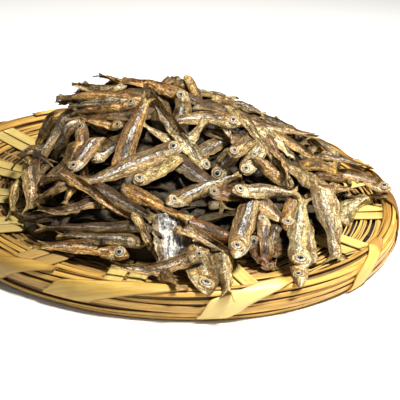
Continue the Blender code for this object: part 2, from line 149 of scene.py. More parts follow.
# The tray's side that is darkened as painted shade, the span where the floor's strands lie apart over
# painted shade, and what is brown with age, darker at the far right as painted shade
SHADED_SIDE_ANGLE = math.radians(205.0)
SHADED_SIDE_DEPTH = 0.50
OPEN_WEFTS_SPAN = (-50.0, 12.0)
OPEN_WEFTS_REACH = (0.098, 0.136)
OPEN_WEFTS_LIFT = 0.0009
OPEN_WEFTS_THINNING = 0.00066
OPEN_WEFTS_LIGHTENING = 0.25
OPEN_WEFTS_BLEACHING = 0.45
OPEN_STAKE_PAINTED_SHADE = 0.9
# A near-black sheet under the open strands, as painted shade
SHADE_SHEET_DEPTH = 0.0016
SHADE_SHEET_HALF_THICKNESS = 0.0003
SHADE_SHEET_LEVEL = 0.03
OLD_ARM = ARMS - 5
OLD_ARM_AGE = 0.55
SHADED_OLD_RIBBON = 0
SHADED_OLD_RIM_ANGLE = math.radians(14.0)
SHADED_OLD_RIM_HALF_SPAN = math.radians(26.0)
OLD_RIM_PAINTED_SHADE = 0.45
OLD_WALL_AGE = 0.85
OLD_EDGE_AGE = 0.4

# The heap's core, a near-black mound as painted shade deep between the fish, and the grid of heights that
# the fish are laid on
CORE_DEPTH = 0.012
CORE_REACH = 0.76
CORE_LUMP = 0.0016
CORE_OVER_TRAY = 0.0010
CORE_UNDERSIDE_GAP = 0.0002
CELL = 0.002
FIELD_HALF_SIDE = 0.170

# How stiff the fish are and how they lie on the others
STEEPEST_FISH = 0.75
FISH_DRAPE = 0.30
FISH_CONTACTS = 3
FISH_SINK = 0.0008
FISH_ROLL = 0.35
FISH_BEND = 0.05

# The fish that fill the heap, spread by the golden angle
BASE_FISH = 210
GOLDEN_ANGLE = math.radians(137.5)
FILLED_SHARE = 0.97
FILLING_JITTER = 0.005
FISH_LENGTHS = (0.050, 0.074)
FISH_DEPTHS = (0.0080, 0.0112)
FISH_THICKNESSES = (0.0030, 0.0042)
RESTING_SHARE = 0.4
# Further out than this they lie round the rim, give or take a spread
ROUND_THE_RIM = 0.085
ROUND_SPREAD = 0.65
# How far they pass the heap's outline before and behind this place on Y, and the furthest reach
OUTLINE_FRONT = 0.050
FRONT_LIMIT = -0.009
BACK_LIMIT = 0.010
FISH_REACH = 0.150
# A second layer, of wider fish, lies behind this place on Y, and at both sides
BACK_FISH = 90
BACK_FISH_TURN = 400
BACK_FISH_START = 0.030
BACK_FISH_HALF_GAP = 0.12
BACK_WIDENING = 1.30
# Where the tray shows bare in the photograph: left, top, right and bottom pixel
BARE_TRAY = ((0, 108, 42, 160), (346, 196, 400, 246), (98, 250, 166, 296), (232, 262, 272, 310))

# Painted shade of the filling: deep in the heap's front, standing out of it by so much, and behind
BURIED_SHADE = 0.06
STANDING_SHADE = 0.52
STANDING_HEIGHT = 0.004
BURIED_FRONT = 0.045
BACK_SHADE = 0.85
SHADE_WITH_EYES = 0.36

# The fish that are placed one by one, along rays that are followed at these depths
RAY_DEPTHS = (0.36, 0.76, 0.0005)
SHOWN_CONTACTS = 1
SHOWN_LIFT = 0.42
SHOWN_THICKNESSES = (0.0026, 0.0036)
SHOWN_DEPTHS = (0.0045, 0.018)
SHOWN_WIDENING = 1.20
TURN_TO_CAMERA = 0.75
DIP = 1.05
LEAST_DEPTH_SPAN = 0.008
OVER_FLOOR = 0.003

# A fish's eye and relief
EYE_PLACE = 0.105
EYE_SHARE = 0.31
FOLD_HEIGHT = 0.00030
LUMP_HEIGHT = 0.00011
WAVE_HEIGHT = 0.0005
SKIN_HALF_THICKNESS = 0.00014

SEED = 7


# The tray's and the heap's form


def floor_top(radius):
    """Height of the woven floor's upper face at this distance from the middle."""
    out = np.maximum(0.0, (np.asarray(radius) - FLOOR_FLAT_RADIUS) / FLOOR_RISE_SPAN)
    return FLOOR_MIDDLE_TOP + FLOOR_RISE * out**FLOOR_RISE_POWER


def outline_radius(angle):
    """The heap's reach in this direction, eased between its named radii."""
    count = len(HEAP_OUTLINE)
    turns = np.mod(np.degrees(angle), 360.0) / (360.0 / count)
    first = np.floor(turns).astype(int) % count
    eased = 0.5 - 0.5 * np.cos(math.pi * (turns - np.floor(turns)))
    radii = np.array(HEAP_OUTLINE)
    return radii[first] * (1.0 - eased) + radii[(first + 1) % count] * eased


def nearest_on_ridge(x, y):
    """Distance to the ridge in plan, and the ridge's height there."""
    distance = np.full(np.shape(x), np.inf)
    height = np.zeros(np.shape(x))
    for start, end in zip(HEAP_RIDGE, HEAP_RIDGE[1:]):
        run_x, run_y = end[0] - start[0], end[1] - start[1]
        share = ((x - start[0]) * run_x + (y - start[1]) * run_y) / (run_x**2 + run_y**2)
        share = np.clip(share, 0.0, 1.0)
        away = np.hypot(x - start[0] - share * run_x, y - start[1] - share * run_y)
        closer = away < distance
        distance = np.where(closer, away, distance)
        height = np.where(closer, start[2] + share * (end[2] - start[2]), height)
    return distance, height


def heap_top(x, y):
    """Height of the heap's smooth form, falling from its ridge to its outline."""
    radius = np.hypot(x, y)
    reach = outline_radius(np.arctan2(y, x))
    away, ridge = nearest_on_ridge(x, y)
    inside = np.maximum(reach - radius, 0.0)
    share = away / (away + inside + 1e-9)
    on_floor = floor_top(reach) + HEAP_EDGE_HEIGHT
    edge = np.where(reach > CREST_INNER_RADIUS, CREST_TOP + HEAP_EDGE_OVER_CREST, on_floor)
    top = edge + (ridge - edge) * (1.0 - share**HEAP_SLOPE_POWER)
    return np.where(radius < reach, np.maximum(top, floor_top(radius) + HEAP_LEAST_DEPTH), 0.0)


def tray_top(radius):
    """Height of what the fish lie on where there is no heap: floor and arms, then the bound rim."""
    radius = np.asarray(radius)
    crest = WALL_CENTRE_HEIGHT + WALL_HALF_HEIGHT + 0.002
    inside = floor_top(radius) + HEAP_CLEARANCE
    outside = np.where(radius < RIM_OUTER_RADIUS, crest, 0.0)
    return np.where(radius < CREST_INNER_RADIUS - 0.004, inside, outside)


def form_normal(x, y, step=0.006):
    """Upward unit normals of the heap's smooth form."""
    slope_x = (heap_top(x + step, y) - heap_top(x - step, y)) / (2 * step)
    slope_y = (heap_top(x, y + step) - heap_top(x, y - step)) / (2 * step)
    slope_x, slope_y = np.clip(slope_x, -1.1, 1.1), np.clip(slope_y, -1.1, 1.1)
    normal = np.stack([-slope_x, -slope_y, np.ones_like(slope_x)], axis=-1)
    return unit(normal)


def unit(vectors):
    """The vectors at length 1."""
    return vectors / np.maximum(np.linalg.norm(vectors, axis=-1, keepdims=True), 1e-12)


# Camera geometry


def camera_axes():
    """The camera's right, up and forward directions."""
    forward = np.array((0.0, math.cos(CAMERA_ELEVATION), -math.sin(CAMERA_ELEVATION)))
    level = np.array((1.0, 0.0, 0.0))
    upright = np.cross(level, forward)
    right = level * math.cos(CAMERA_ROLL) + upright * math.sin(CAMERA_ROLL)
    up = upright * math.cos(CAMERA_ROLL) - level * math.sin(CAMERA_ROLL)
    return right, up, forward


def pixel_rays(pixels):
    """The ray through each pixel, one unit deep along the camera's axis."""
    right, up, forward = camera_axes()
    across = (pixels[:, :1] - IMAGE_SIDE / 2) / PIXELS_FOCAL
    down = (pixels[:, 1:] - IMAGE_SIDE / 2) / PIXELS_FOCAL
    return forward + right * across - up * down


def to_pixels(points):
    """Where points show in the photograph's frame."""
    right, up, forward = camera_axes()
    from_camera = points - CAMERA_PLACE
    depth = from_camera @ forward
    across = from_camera @ right / depth
    down = -(from_camera @ up) / depth
    return np.stack([across, down], axis=-1) * PIXELS_FOCAL + IMAGE_SIDE / 2


# Joined meshes


class Pile:
    """The points, faces and attributes of many small things, gathered for one mesh."""

    def __init__(self):
        self.points = []
        self.quads = []
        self.triangles = []
        self.values = {}
        self.count = 0

    def add(self, points, quads, triangles=None, **values):
        self.points.append(points)
        self.quads.append(np.asarray(quads, int).reshape(-1, 4) + self.count)
        if triangles is not None:
            self.triangles.append(np.asarray(triangles, int).reshape(-1, 3) + self.count)
        for name, value in values.items():
            value = np.broadcast_to(np.asarray(value, float), (len(points), np.shape(value)[-1]))
            self.values.setdefault(name, []).append(value)
        self.count += len(points)

    def make(self, name, material):
        """The object, with each value as a vector attribute of its points."""
        points = np.concatenate(self.points)
        quads = np.concatenate(self.quads)
        triangles = np.concatenate(self.triangles) if self.triangles else np.zeros((0, 3), int)
        loops = np.concatenate([quads.ravel(), triangles.ravel()]).astype(np.int32)
        sizes = np.concatenate([np.full(len(quads), 4), np.full(len(triangles), 3)])
        starts = np.concatenate([[0], np.cumsum(sizes)[:-1]]).astype(np.int32)
        mesh = bpy.data.meshes.new(name)
        mesh.vertices.add(len(points))
        mesh.vertices.foreach_set("co", points.astype(np.float32).ravel())
        mesh.loops.add(len(loops))
        mesh.loops.foreach_set("vertex_index", loops)
        mesh.polygons.add(len(starts))
        mesh.polygons.foreach_set("loop_start", starts)
        mesh.update(calc_edges=True)
        for key, parts in self.values.items():
            attribute = mesh.attributes.new(key, "FLOAT_VECTOR", "POINT")
            attribute.data.foreach_set("vector", np.concatenate(parts).astype(np.float32).ravel())
        mesh.polygons.foreach_set("use_smooth", np.ones(len(starts), bool))
        mesh.validate()
        obj = bpy.data.objects.new(name, mesh)
        bpy.context.scene.collection.objects.link(obj)
        mesh.materials.append(material)
        return obj


def tube_faces(rings, sides, closed=False):
    """Quads between rings of points that run round a section."""
    i = np.arange(rings if closed else rings - 1)[:, None]
    j = np.arange(sides)[None, :]
    after = (i + 1) % rings
    beside = (j + 1) % sides
    corners = (i * sides + j, i * sides + beside, after * sides + beside, after * sides + j)
    return np.stack(corners, axis=-1).reshape(-1, 4)


def cap_faces(first, sides, turned):
    """A cap that zips a ring shut across its narrow way: quads, and a triangle at each edge."""
    half = sides // 2
    quads = [(i, i + 1, sides - i - 1, sides - i) for i in range(1, half - 1)]
    triangles = [(0, 1, sides - 1), (half - 1, half, half + 1)]
    quads = np.array(quads).reshape(-1, 4) + first
    triangles = np.array(triangles) + first
    return (quads[:, ::-1], triangles[:, ::-1]) if turned else (quads, triangles)


# One fish

FISH_PLACES = np.concatenate(
    [
        np.array((0.0, 0.012, 0.03, 0.05, 0.075, 0.10, 0.125, 0.15, 0.175, 0.198, 0.212, 0.226)),
        np.linspace(0.25, 0.85, 22),
        np.array((0.875, 0.90, 0.925, 0.95, 0.975, 1.0)),
    ]
)
FISH_RINGS = len(FISH_PLACES)
FISH_SIDES = 16
# Reach of the back, of the belly and of a flap, and the thickness, from snout to tail
BACK_PROFILE = (
    (0.0, 0.12), (0.015, 0.28), (0.04, 0.50), (0.08, 0.72), (0.14, 0.88), (0.22, 0.96), (0.34, 1.0),
    (0.48, 0.95), (0.60, 0.83), (0.72, 0.66), (0.82, 0.46), (0.875, 0.36), (0.91, 0.42), (0.95, 0.60),
    (1.0, 0.88),
)
BELLY_PROFILE = (
    (0.0, 0.12), (0.015, 0.32), (0.04, 0.56), (0.08, 0.80), (0.14, 0.97), (0.20, 1.05), (0.31, 1.08),
    (0.43, 1.03), (0.55, 0.90), (0.66, 0.73), (0.76, 0.56), (0.83, 0.43), (0.875, 0.36), (0.91, 0.42),
    (0.95, 0.60), (1.0, 0.88),
)
FLAP_PROFILE = ((0.0, 0.55), (0.08, 0.82), (0.35, 1.0), (0.70, 0.97), (0.92, 0.80), (1.0, 0.50))
THICKNESS_PROFILE = (
    (0.0, 0.20), (0.02, 0.48), (0.05, 0.76), (0.10, 0.98), (0.16, 1.05), (0.198, 0.98), (0.226, 0.66),
    (0.32, 0.58), (0.50, 0.48), (0.70, 0.34), (0.82, 0.22), (0.88, 0.13), (0.94, 0.07), (1.0, 0.04),
)
# The rings of an eye, as shares of its radius: how far out they lie and how high they stand
EYE_SIDES = 12
EYE_SHARES = np.array((0.0, 0.20, 0.34, 0.48, 0.60, 0.68, 0.82, 0.94, 1.06))
EYE_HEIGHTS = np.array((0.32, 0.29, 0.24, 0.19, 0.17, 0.11, 0.20, 0.12, -0.12))

# Kinds of finish: the piece a fish goes into, its tone, how strong its silver stripe, red stains and dark
# are, and how bright its eye
Look = namedtuple("Look", "piece tone stripe red dark eye")
LOOKS = {
    "golden": Look("golden_fish", (0.480, 0.258, 0.062), 0.45, 0.35, 0.08, 0.6),
    "tan": Look("golden_fish", (0.490, 0.335, 0.138), 0.4, 0.15, 0.08, 0.7),
    "striped": Look("golden_fish", (0.740, 0.370, 0.088), 1.6, 0.5, 0.04, 0.6),
    "brown": Look("brown_fish", (0.215, 0.108, 0.031), 0.35, 0.5, 0.20, 0.3),
    "red": Look("brown_fish", (0.220, 0.090, 0.025), 0.45, 1.0, 0.15, 0.4),
    "dark": Look("dark_fish", (0.090, 0.045, 0.013), 0.6, 0.3, 0.40, 0.1),
    "grey": Look("dark_fish", (0.300, 0.192, 0.076), 0.55, 0.2, 0.15, 0.5),
    "silver": Look("silver_fish", (0.410, 0.272, 0.115), 0.8, 0.35, 0.06, 0.9),
    "pale": Look("silver_fish", (0.620, 0.490, 0.260), 0.5, 0.08, 0.0, 1.0),
    "gilled": Look("brown_fish", (0.290, 0.150, 0.042), 0.75, 0.5, 0.10, 0.6),
    "gilled_pale": Look("silver_fish", (0.360, 0.230, 0.090), 1.5, 0.6, 0.0, 0.8),
    "opened": Look("silver_fish", (0.430, 0.300, 0.160), 2.0, 0.5, 0.0, 0.0),
}
COMMON_LOOKS = ("golden", "tan", "brown", "dark", "silver", "grey", "golden", "brown", "tan", "grey")
FLAT_LOOKS = ("opened", "striped")


def profile(pairs, places):
    """A profile's values at these shares of the length."""
    pairs = np.array(pairs)
    return np.interp(places, pairs[:, 0], pairs[:, 1])


def ease(low, high, values):
    """A smooth step from 0 at low to 1 at high."""
    share = np.clip((values - low) / (high - low), 0.0, 1.0)
    return share * share * (3.0 - 2.0 * share)


def bell(values, middle, width):
    """1 at the middle, falling off smoothly to either side."""
    return np.exp(-(((values - middle) / width) ** 2))


def smooth(values, times, weight=2.0):
    """Evens out neighbours in place, this often; the ends stay."""
    for _ in range(times):
        values[1:-1] = (values[:-2] + weight * values[1:-1] + values[2:]) / (weight + 2.0)
    return values


def along_path(path, places):
    """Points at shares of a path's points, through a smooth curve."""
    given = np.linspace(0.0, 1.0, len(path))
    fine = np.linspace(0.0, 1.0, 41)
    values = smooth(np.stack([np.interp(fine, given, column) for column in path.T], axis=1), 6)
    return np.stack([np.interp(places, fine, column) for column in values.T], axis=1)


def path_length(points):
    """Length along a line of points."""
    return np.linalg.norm(np.diff(points, axis=0), axis=1).sum()


def fish_axes(path, normals, belly_sign):
    """Along, towards the belly, and out of the flank, at each ring."""
    along = unit(np.gradient(path, axis=0))
    belly = unit(np.cross(normals, along)) * belly_sign
    return along, belly, np.cross(along, belly) * -belly_sign


def twisted(belly, flank, look, draws):
    """The directions of belly and flank, turned a little more or less along the fish."""
    twist = draws.normal(0.0, 0.15) * (FISH_PLACES - 0.4) * 2.0
    twist = twist + draws.normal(0.0, 0.11) * np.sin(FISH_PLACES * 7.0)
    if look in FLAT_LOOKS:
        twist = twist * 0.2
    cosine, sine = np.cos(twist)[:, None], np.sin(twist)[:, None]
    return belly * cosine + flank * sine, flank * cosine - belly * sine


def ragged(draws, size):
    """Uneven shares along an edge, a little smoothed."""
    return smooth(draws.normal(0.0, size, FISH_RINGS), 1, 1.5)


def wrinkles(draws, sides, times):
    """Random relief over the rings, smoothed this often along the fish."""
    values = smooth(draws.normal(0.0, 1.0, (FISH_RINGS, sides)), times, 1.0)
    return values / max(values.std(), 1e-6)


def fish_outline(look, seed, draws):
    """The reach of back and belly from the middle line, as shares of half the depth."""
    places = FISH_PLACES
    loose = 0.4 + 0.6 * ease(0.16, 0.30, places)
    back = profile(BACK_PROFILE, places) * (1.0 + ragged(draws, 0.055) * loose)
    front = profile(BELLY_PROFILE, places) * (1.0 + ragged(draws, 0.085) * loose)
    back *= 1.0 + 0.03 * np.sin(places * draws.uniform(9, 16) + seed)
    front *= 1.0 + 0.04 * np.sin(places * draws.uniform(9, 16) + 2.0 * seed)
    front *= 1.0 - draws.uniform(0.0, 0.28) * bell(places, 0.40, 0.13)
    for _ in range(2):
        tear = draws.uniform(0.28, 0.84)
        front *= 1.0 - draws.uniform(0.0, 0.30) * bell(places, tear, 0.018)
    if look == "opened":
        back = front = profile(FLAP_PROFILE, places) * (1.0 + ragged(draws, 0.06))
    tail_spread = 1.0 + (draws.uniform(0.55, 1.35) - 1.0) * ease(0.88, 1.0, places)
    return back * tail_spread, front * tail_spread


def flank_relief(look, body, t, u, draws):
    """The groove over the spine, the sunk belly and the creases, as shares of the thickness."""
    sunk = 1.0 - ease(0.55, 0.80, t)
    groove = draws.uniform(0.10, 0.42) * body * bell(u, -0.48, 0.20)
    hollow = draws.uniform(0.25, 0.70) * body * sunk * bell(u, 0.48, 0.24)
    spine = draws.uniform(0.05, 0.28) * body * bell(u, -0.04, 0.16)
    creases = wrinkles(draws, FISH_SIDES, 6) * (0.35 + 0.65 * body)
    fine_creases = wrinkles(draws, FISH_SIDES, 1) * (0.3 + 0.7 * body)
    relief = 0.20 * creases + 0.14 * fine_creases + spine - groove - hollow
    return (0.3 * relief if look == "opened" else relief), creases


def flank_shift(look, body, t, u, depth, seed, draws):
    """How far the body is cupped and folded out of its plane, and its folds alone."""
    cup = draws.normal(0.0, 0.19)
    if look in FLAT_LOOKS:
        cup = -0.16
    cupped = cup * depth * (u * u - 0.35) * ease(0.15, 0.35, t)
    cupped = cupped + draws.normal(0.0, 0.07) * depth * np.sin(t * 9.0 + seed) * u
    mirrored = np.minimum(np.arange(FISH_SIDES), FISH_SIDES - np.arange(FISH_SIDES))
    folds = wrinkles(draws, FISH_SIDES // 2 + 1, 4)[:, mirrored] * FOLD_HEIGHT
    lumps = wrinkles(draws, FISH_SIDES // 2 + 1, 1)[:, mirrored] * LUMP_HEIGHT
    waves = WAVE_HEIGHT * wrinkles(draws, 1, 4)
    if look == "opened":
        return cupped + 0.6 * folds * body, folds
    return cupped + (folds + lumps + waves) * body, folds


def tail_fork(t, u, length, draws):
    """How far the tail's edge is drawn back towards the body: a frayed fork."""
    frayed = draws.normal(0.0, 0.010, FISH_SIDES)
    frayed = (frayed + frayed[(-np.arange(FISH_SIDES)) % FISH_SIDES]) / 2
    fork = draws.uniform(0.01, 0.055) * (1.0 - np.abs(u)) ** 0.9 + frayed[None, :]
    return ease(0.885, 1.0, t) * fork * length


def add_fish(piles, eyes, path, normals, depth, thickness, look, draws, belly_sign=1.0, shade=1.0):
    """A dried fish along its path from snout to tail; the flank faces the way of the normals."""
    centre = along_path(path, FISH_PLACES)
    normal = unit(along_path(normals, FISH_PLACES))
    length = path_length(centre)
    along, belly, flank = fish_axes(centre, normal, belly_sign)
    belly, flank = twisted(belly, flank, look, draws)

    angle = np.arange(FISH_SIDES) * math.tau / FISH_SIDES
    u = np.cos(angle)[None, :]
    side = np.sign(np.sin(angle) + 1e-9)[None, :]
    t = FISH_PLACES[:, None]
    body = ease(0.20, 0.28, t) * (1.0 - ease(0.82, 0.92, t))
    seed = draws.uniform(0.0, 100.0)
    back, front = fish_outline(look, seed, draws)
    reach = np.where(u > 0, front[:, None], back[:, None]) * depth / 2
    thick = profile(THICKNESS_PROFILE, FISH_PLACES)[:, None] * thickness / 2
    if look == "opened":
        thick = np.full((FISH_RINGS, 1), thickness * 0.16)
    lens = np.maximum(1.0 - np.abs(u) ** 1.5, 0.0) ** 0.90
    relief, creases = flank_relief(look, body, t, u, draws)
    cheek = 0.14 * bell(t, 0.165, 0.035) * bell(u, 0.35, 0.35)
    socket = -0.16 * bell(t, EYE_PLACE, 0.028) * bell(u, -0.10, 0.28)
    half = thick * lens * np.maximum(1.0 + relief + cheek + socket, 0.25)
    half = half + SKIN_HALF_THICKNESS * np.sign(lens)
    shift, folds = flank_shift(look, body, t, u, depth, seed, draws)
    fork = tail_fork(t, u, length, draws)
    ripple = 0.0009 * ease(0.86, 1.0, t) * np.sin(u * 5.0 + seed)

    points = centre[:, None, :] + belly[:, None, :] * (u * reach)[..., None]
    points = points + flank[:, None, :] * (side * half + shift + ripple)[..., None]
    points = points - along[:, None, :] * fork[..., None]
    points = points.reshape(-1, 3)
    quads, triangles = fish_faces(belly_sign)

    values = skin_values(look, t, u, side, reach, half, length, seed, draws)
    creases = creases + side * folds / FOLD_HEIGHT
    shades = np.broadcast_to(shade, len(points))
    # Its third column is the painted shade of fish deep in the heap
    crease = np.stack([relief.ravel(), creases.ravel(), shades], axis=1)
    piles[LOOKS[look].piece].add(points, quads, triangles, **values, crease=crease)
    if eyes is not None and look != "opened":
        add_eyes(eyes, centre, along, belly, flank, thick.ravel(), depth, LOOKS[look].eye, draws)
    return points


def skin_values(look, t, u, side, reach, half, length, seed, draws):
    """What the finish reads at each point: its place on the fish, its grain, tone and marks."""
    shape = (FISH_RINGS, FISH_SIDES)
    t, u, side = (np.broadcast_to(values, shape).ravel() for values in (t, u, side))
    out = side * 0.05 + (side * half.ravel())
    if look == "opened":
        t = 0.30 + 0.40 * t
        u = 0.45 * u - 0.04
    kind = LOOKS[look]
    tone = np.array(kind.tone) * (1.0 + draws.normal(0.0, 0.09)) * (1.0 + draws.normal(0.0, 0.03, 3))
    stripe = kind.stripe * draws.uniform(0.6, 1.25)
    red = kind.red * draws.uniform(0.4, 1.5)
    return {
        "place": np.stack([t, u, np.full(len(t), seed / 100.0)], axis=1),
        "grain": np.stack([t * length + seed, u * reach.ravel() + 0.37 * seed, out], axis=1),
        "tone": tone,
        "marks": np.array((stripe, red, kind.dark + draws.uniform(-0.08, 0.10))),
    }


def fish_faces(belly_sign):
    """The faces of a closed fish, turned outwards."""
    first_quads, first_triangles = cap_faces(0, FISH_SIDES, True)
    last_quads, last_triangles = cap_faces((FISH_RINGS - 1) * FISH_SIDES, FISH_SIDES, False)
    quads = np.concatenate([tube_faces(FISH_RINGS, FISH_SIDES), first_quads, last_quads])
    triangles = np.concatenate([first_triangles, last_triangles])
    return (quads[:, ::-1], triangles[:, ::-1]) if belly_sign > 0 else (quads, triangles)


def add_eyes(eyes, centre, along, belly, flank, thick, depth, brightness, draws):
    """A domed eye in its ring on each flank of the head."""
    at = int(np.argmin(np.abs(FISH_PLACES - EYE_PLACE)))
    radius = depth * EYE_SHARE * draws.uniform(0.9, 1.1)
    angle = np.arange(EYE_SIDES) * math.tau / EYE_SIDES
    for side in (1.0, -1.0):
        middle = centre[at] - belly[at] * (0.06 * depth / 2) + flank[at] * side * thick[at] * 0.80
        ring = along[at] * np.cos(angle)[:, None] + belly[at] * np.sin(angle)[:, None]
        rings = [middle[None, :] + flank[at] * side * EYE_HEIGHTS[0] * radius + ring * 1e-5]
        for share, height in zip(EYE_SHARES[1:], EYE_HEIGHTS[1:]):
            rings.append(middle + ring * (share * radius) + flank[at] * side * height * radius)
        points = np.concatenate(rings)
        shares = np.repeat(EYE_SHARES, EYE_SIDES)
        turns = np.tile(angle, len(EYE_SHARES))
        eye = np.stack([shares, turns, np.full(len(points), draws.uniform(0, 1))], axis=1)
        bright = np.array((brightness, draws.uniform(0.0, 1.0), 0.0))
        eyes.add(points, tube_faces(len(EYE_SHARES), EYE_SIDES), eye=eye, bright=bright)


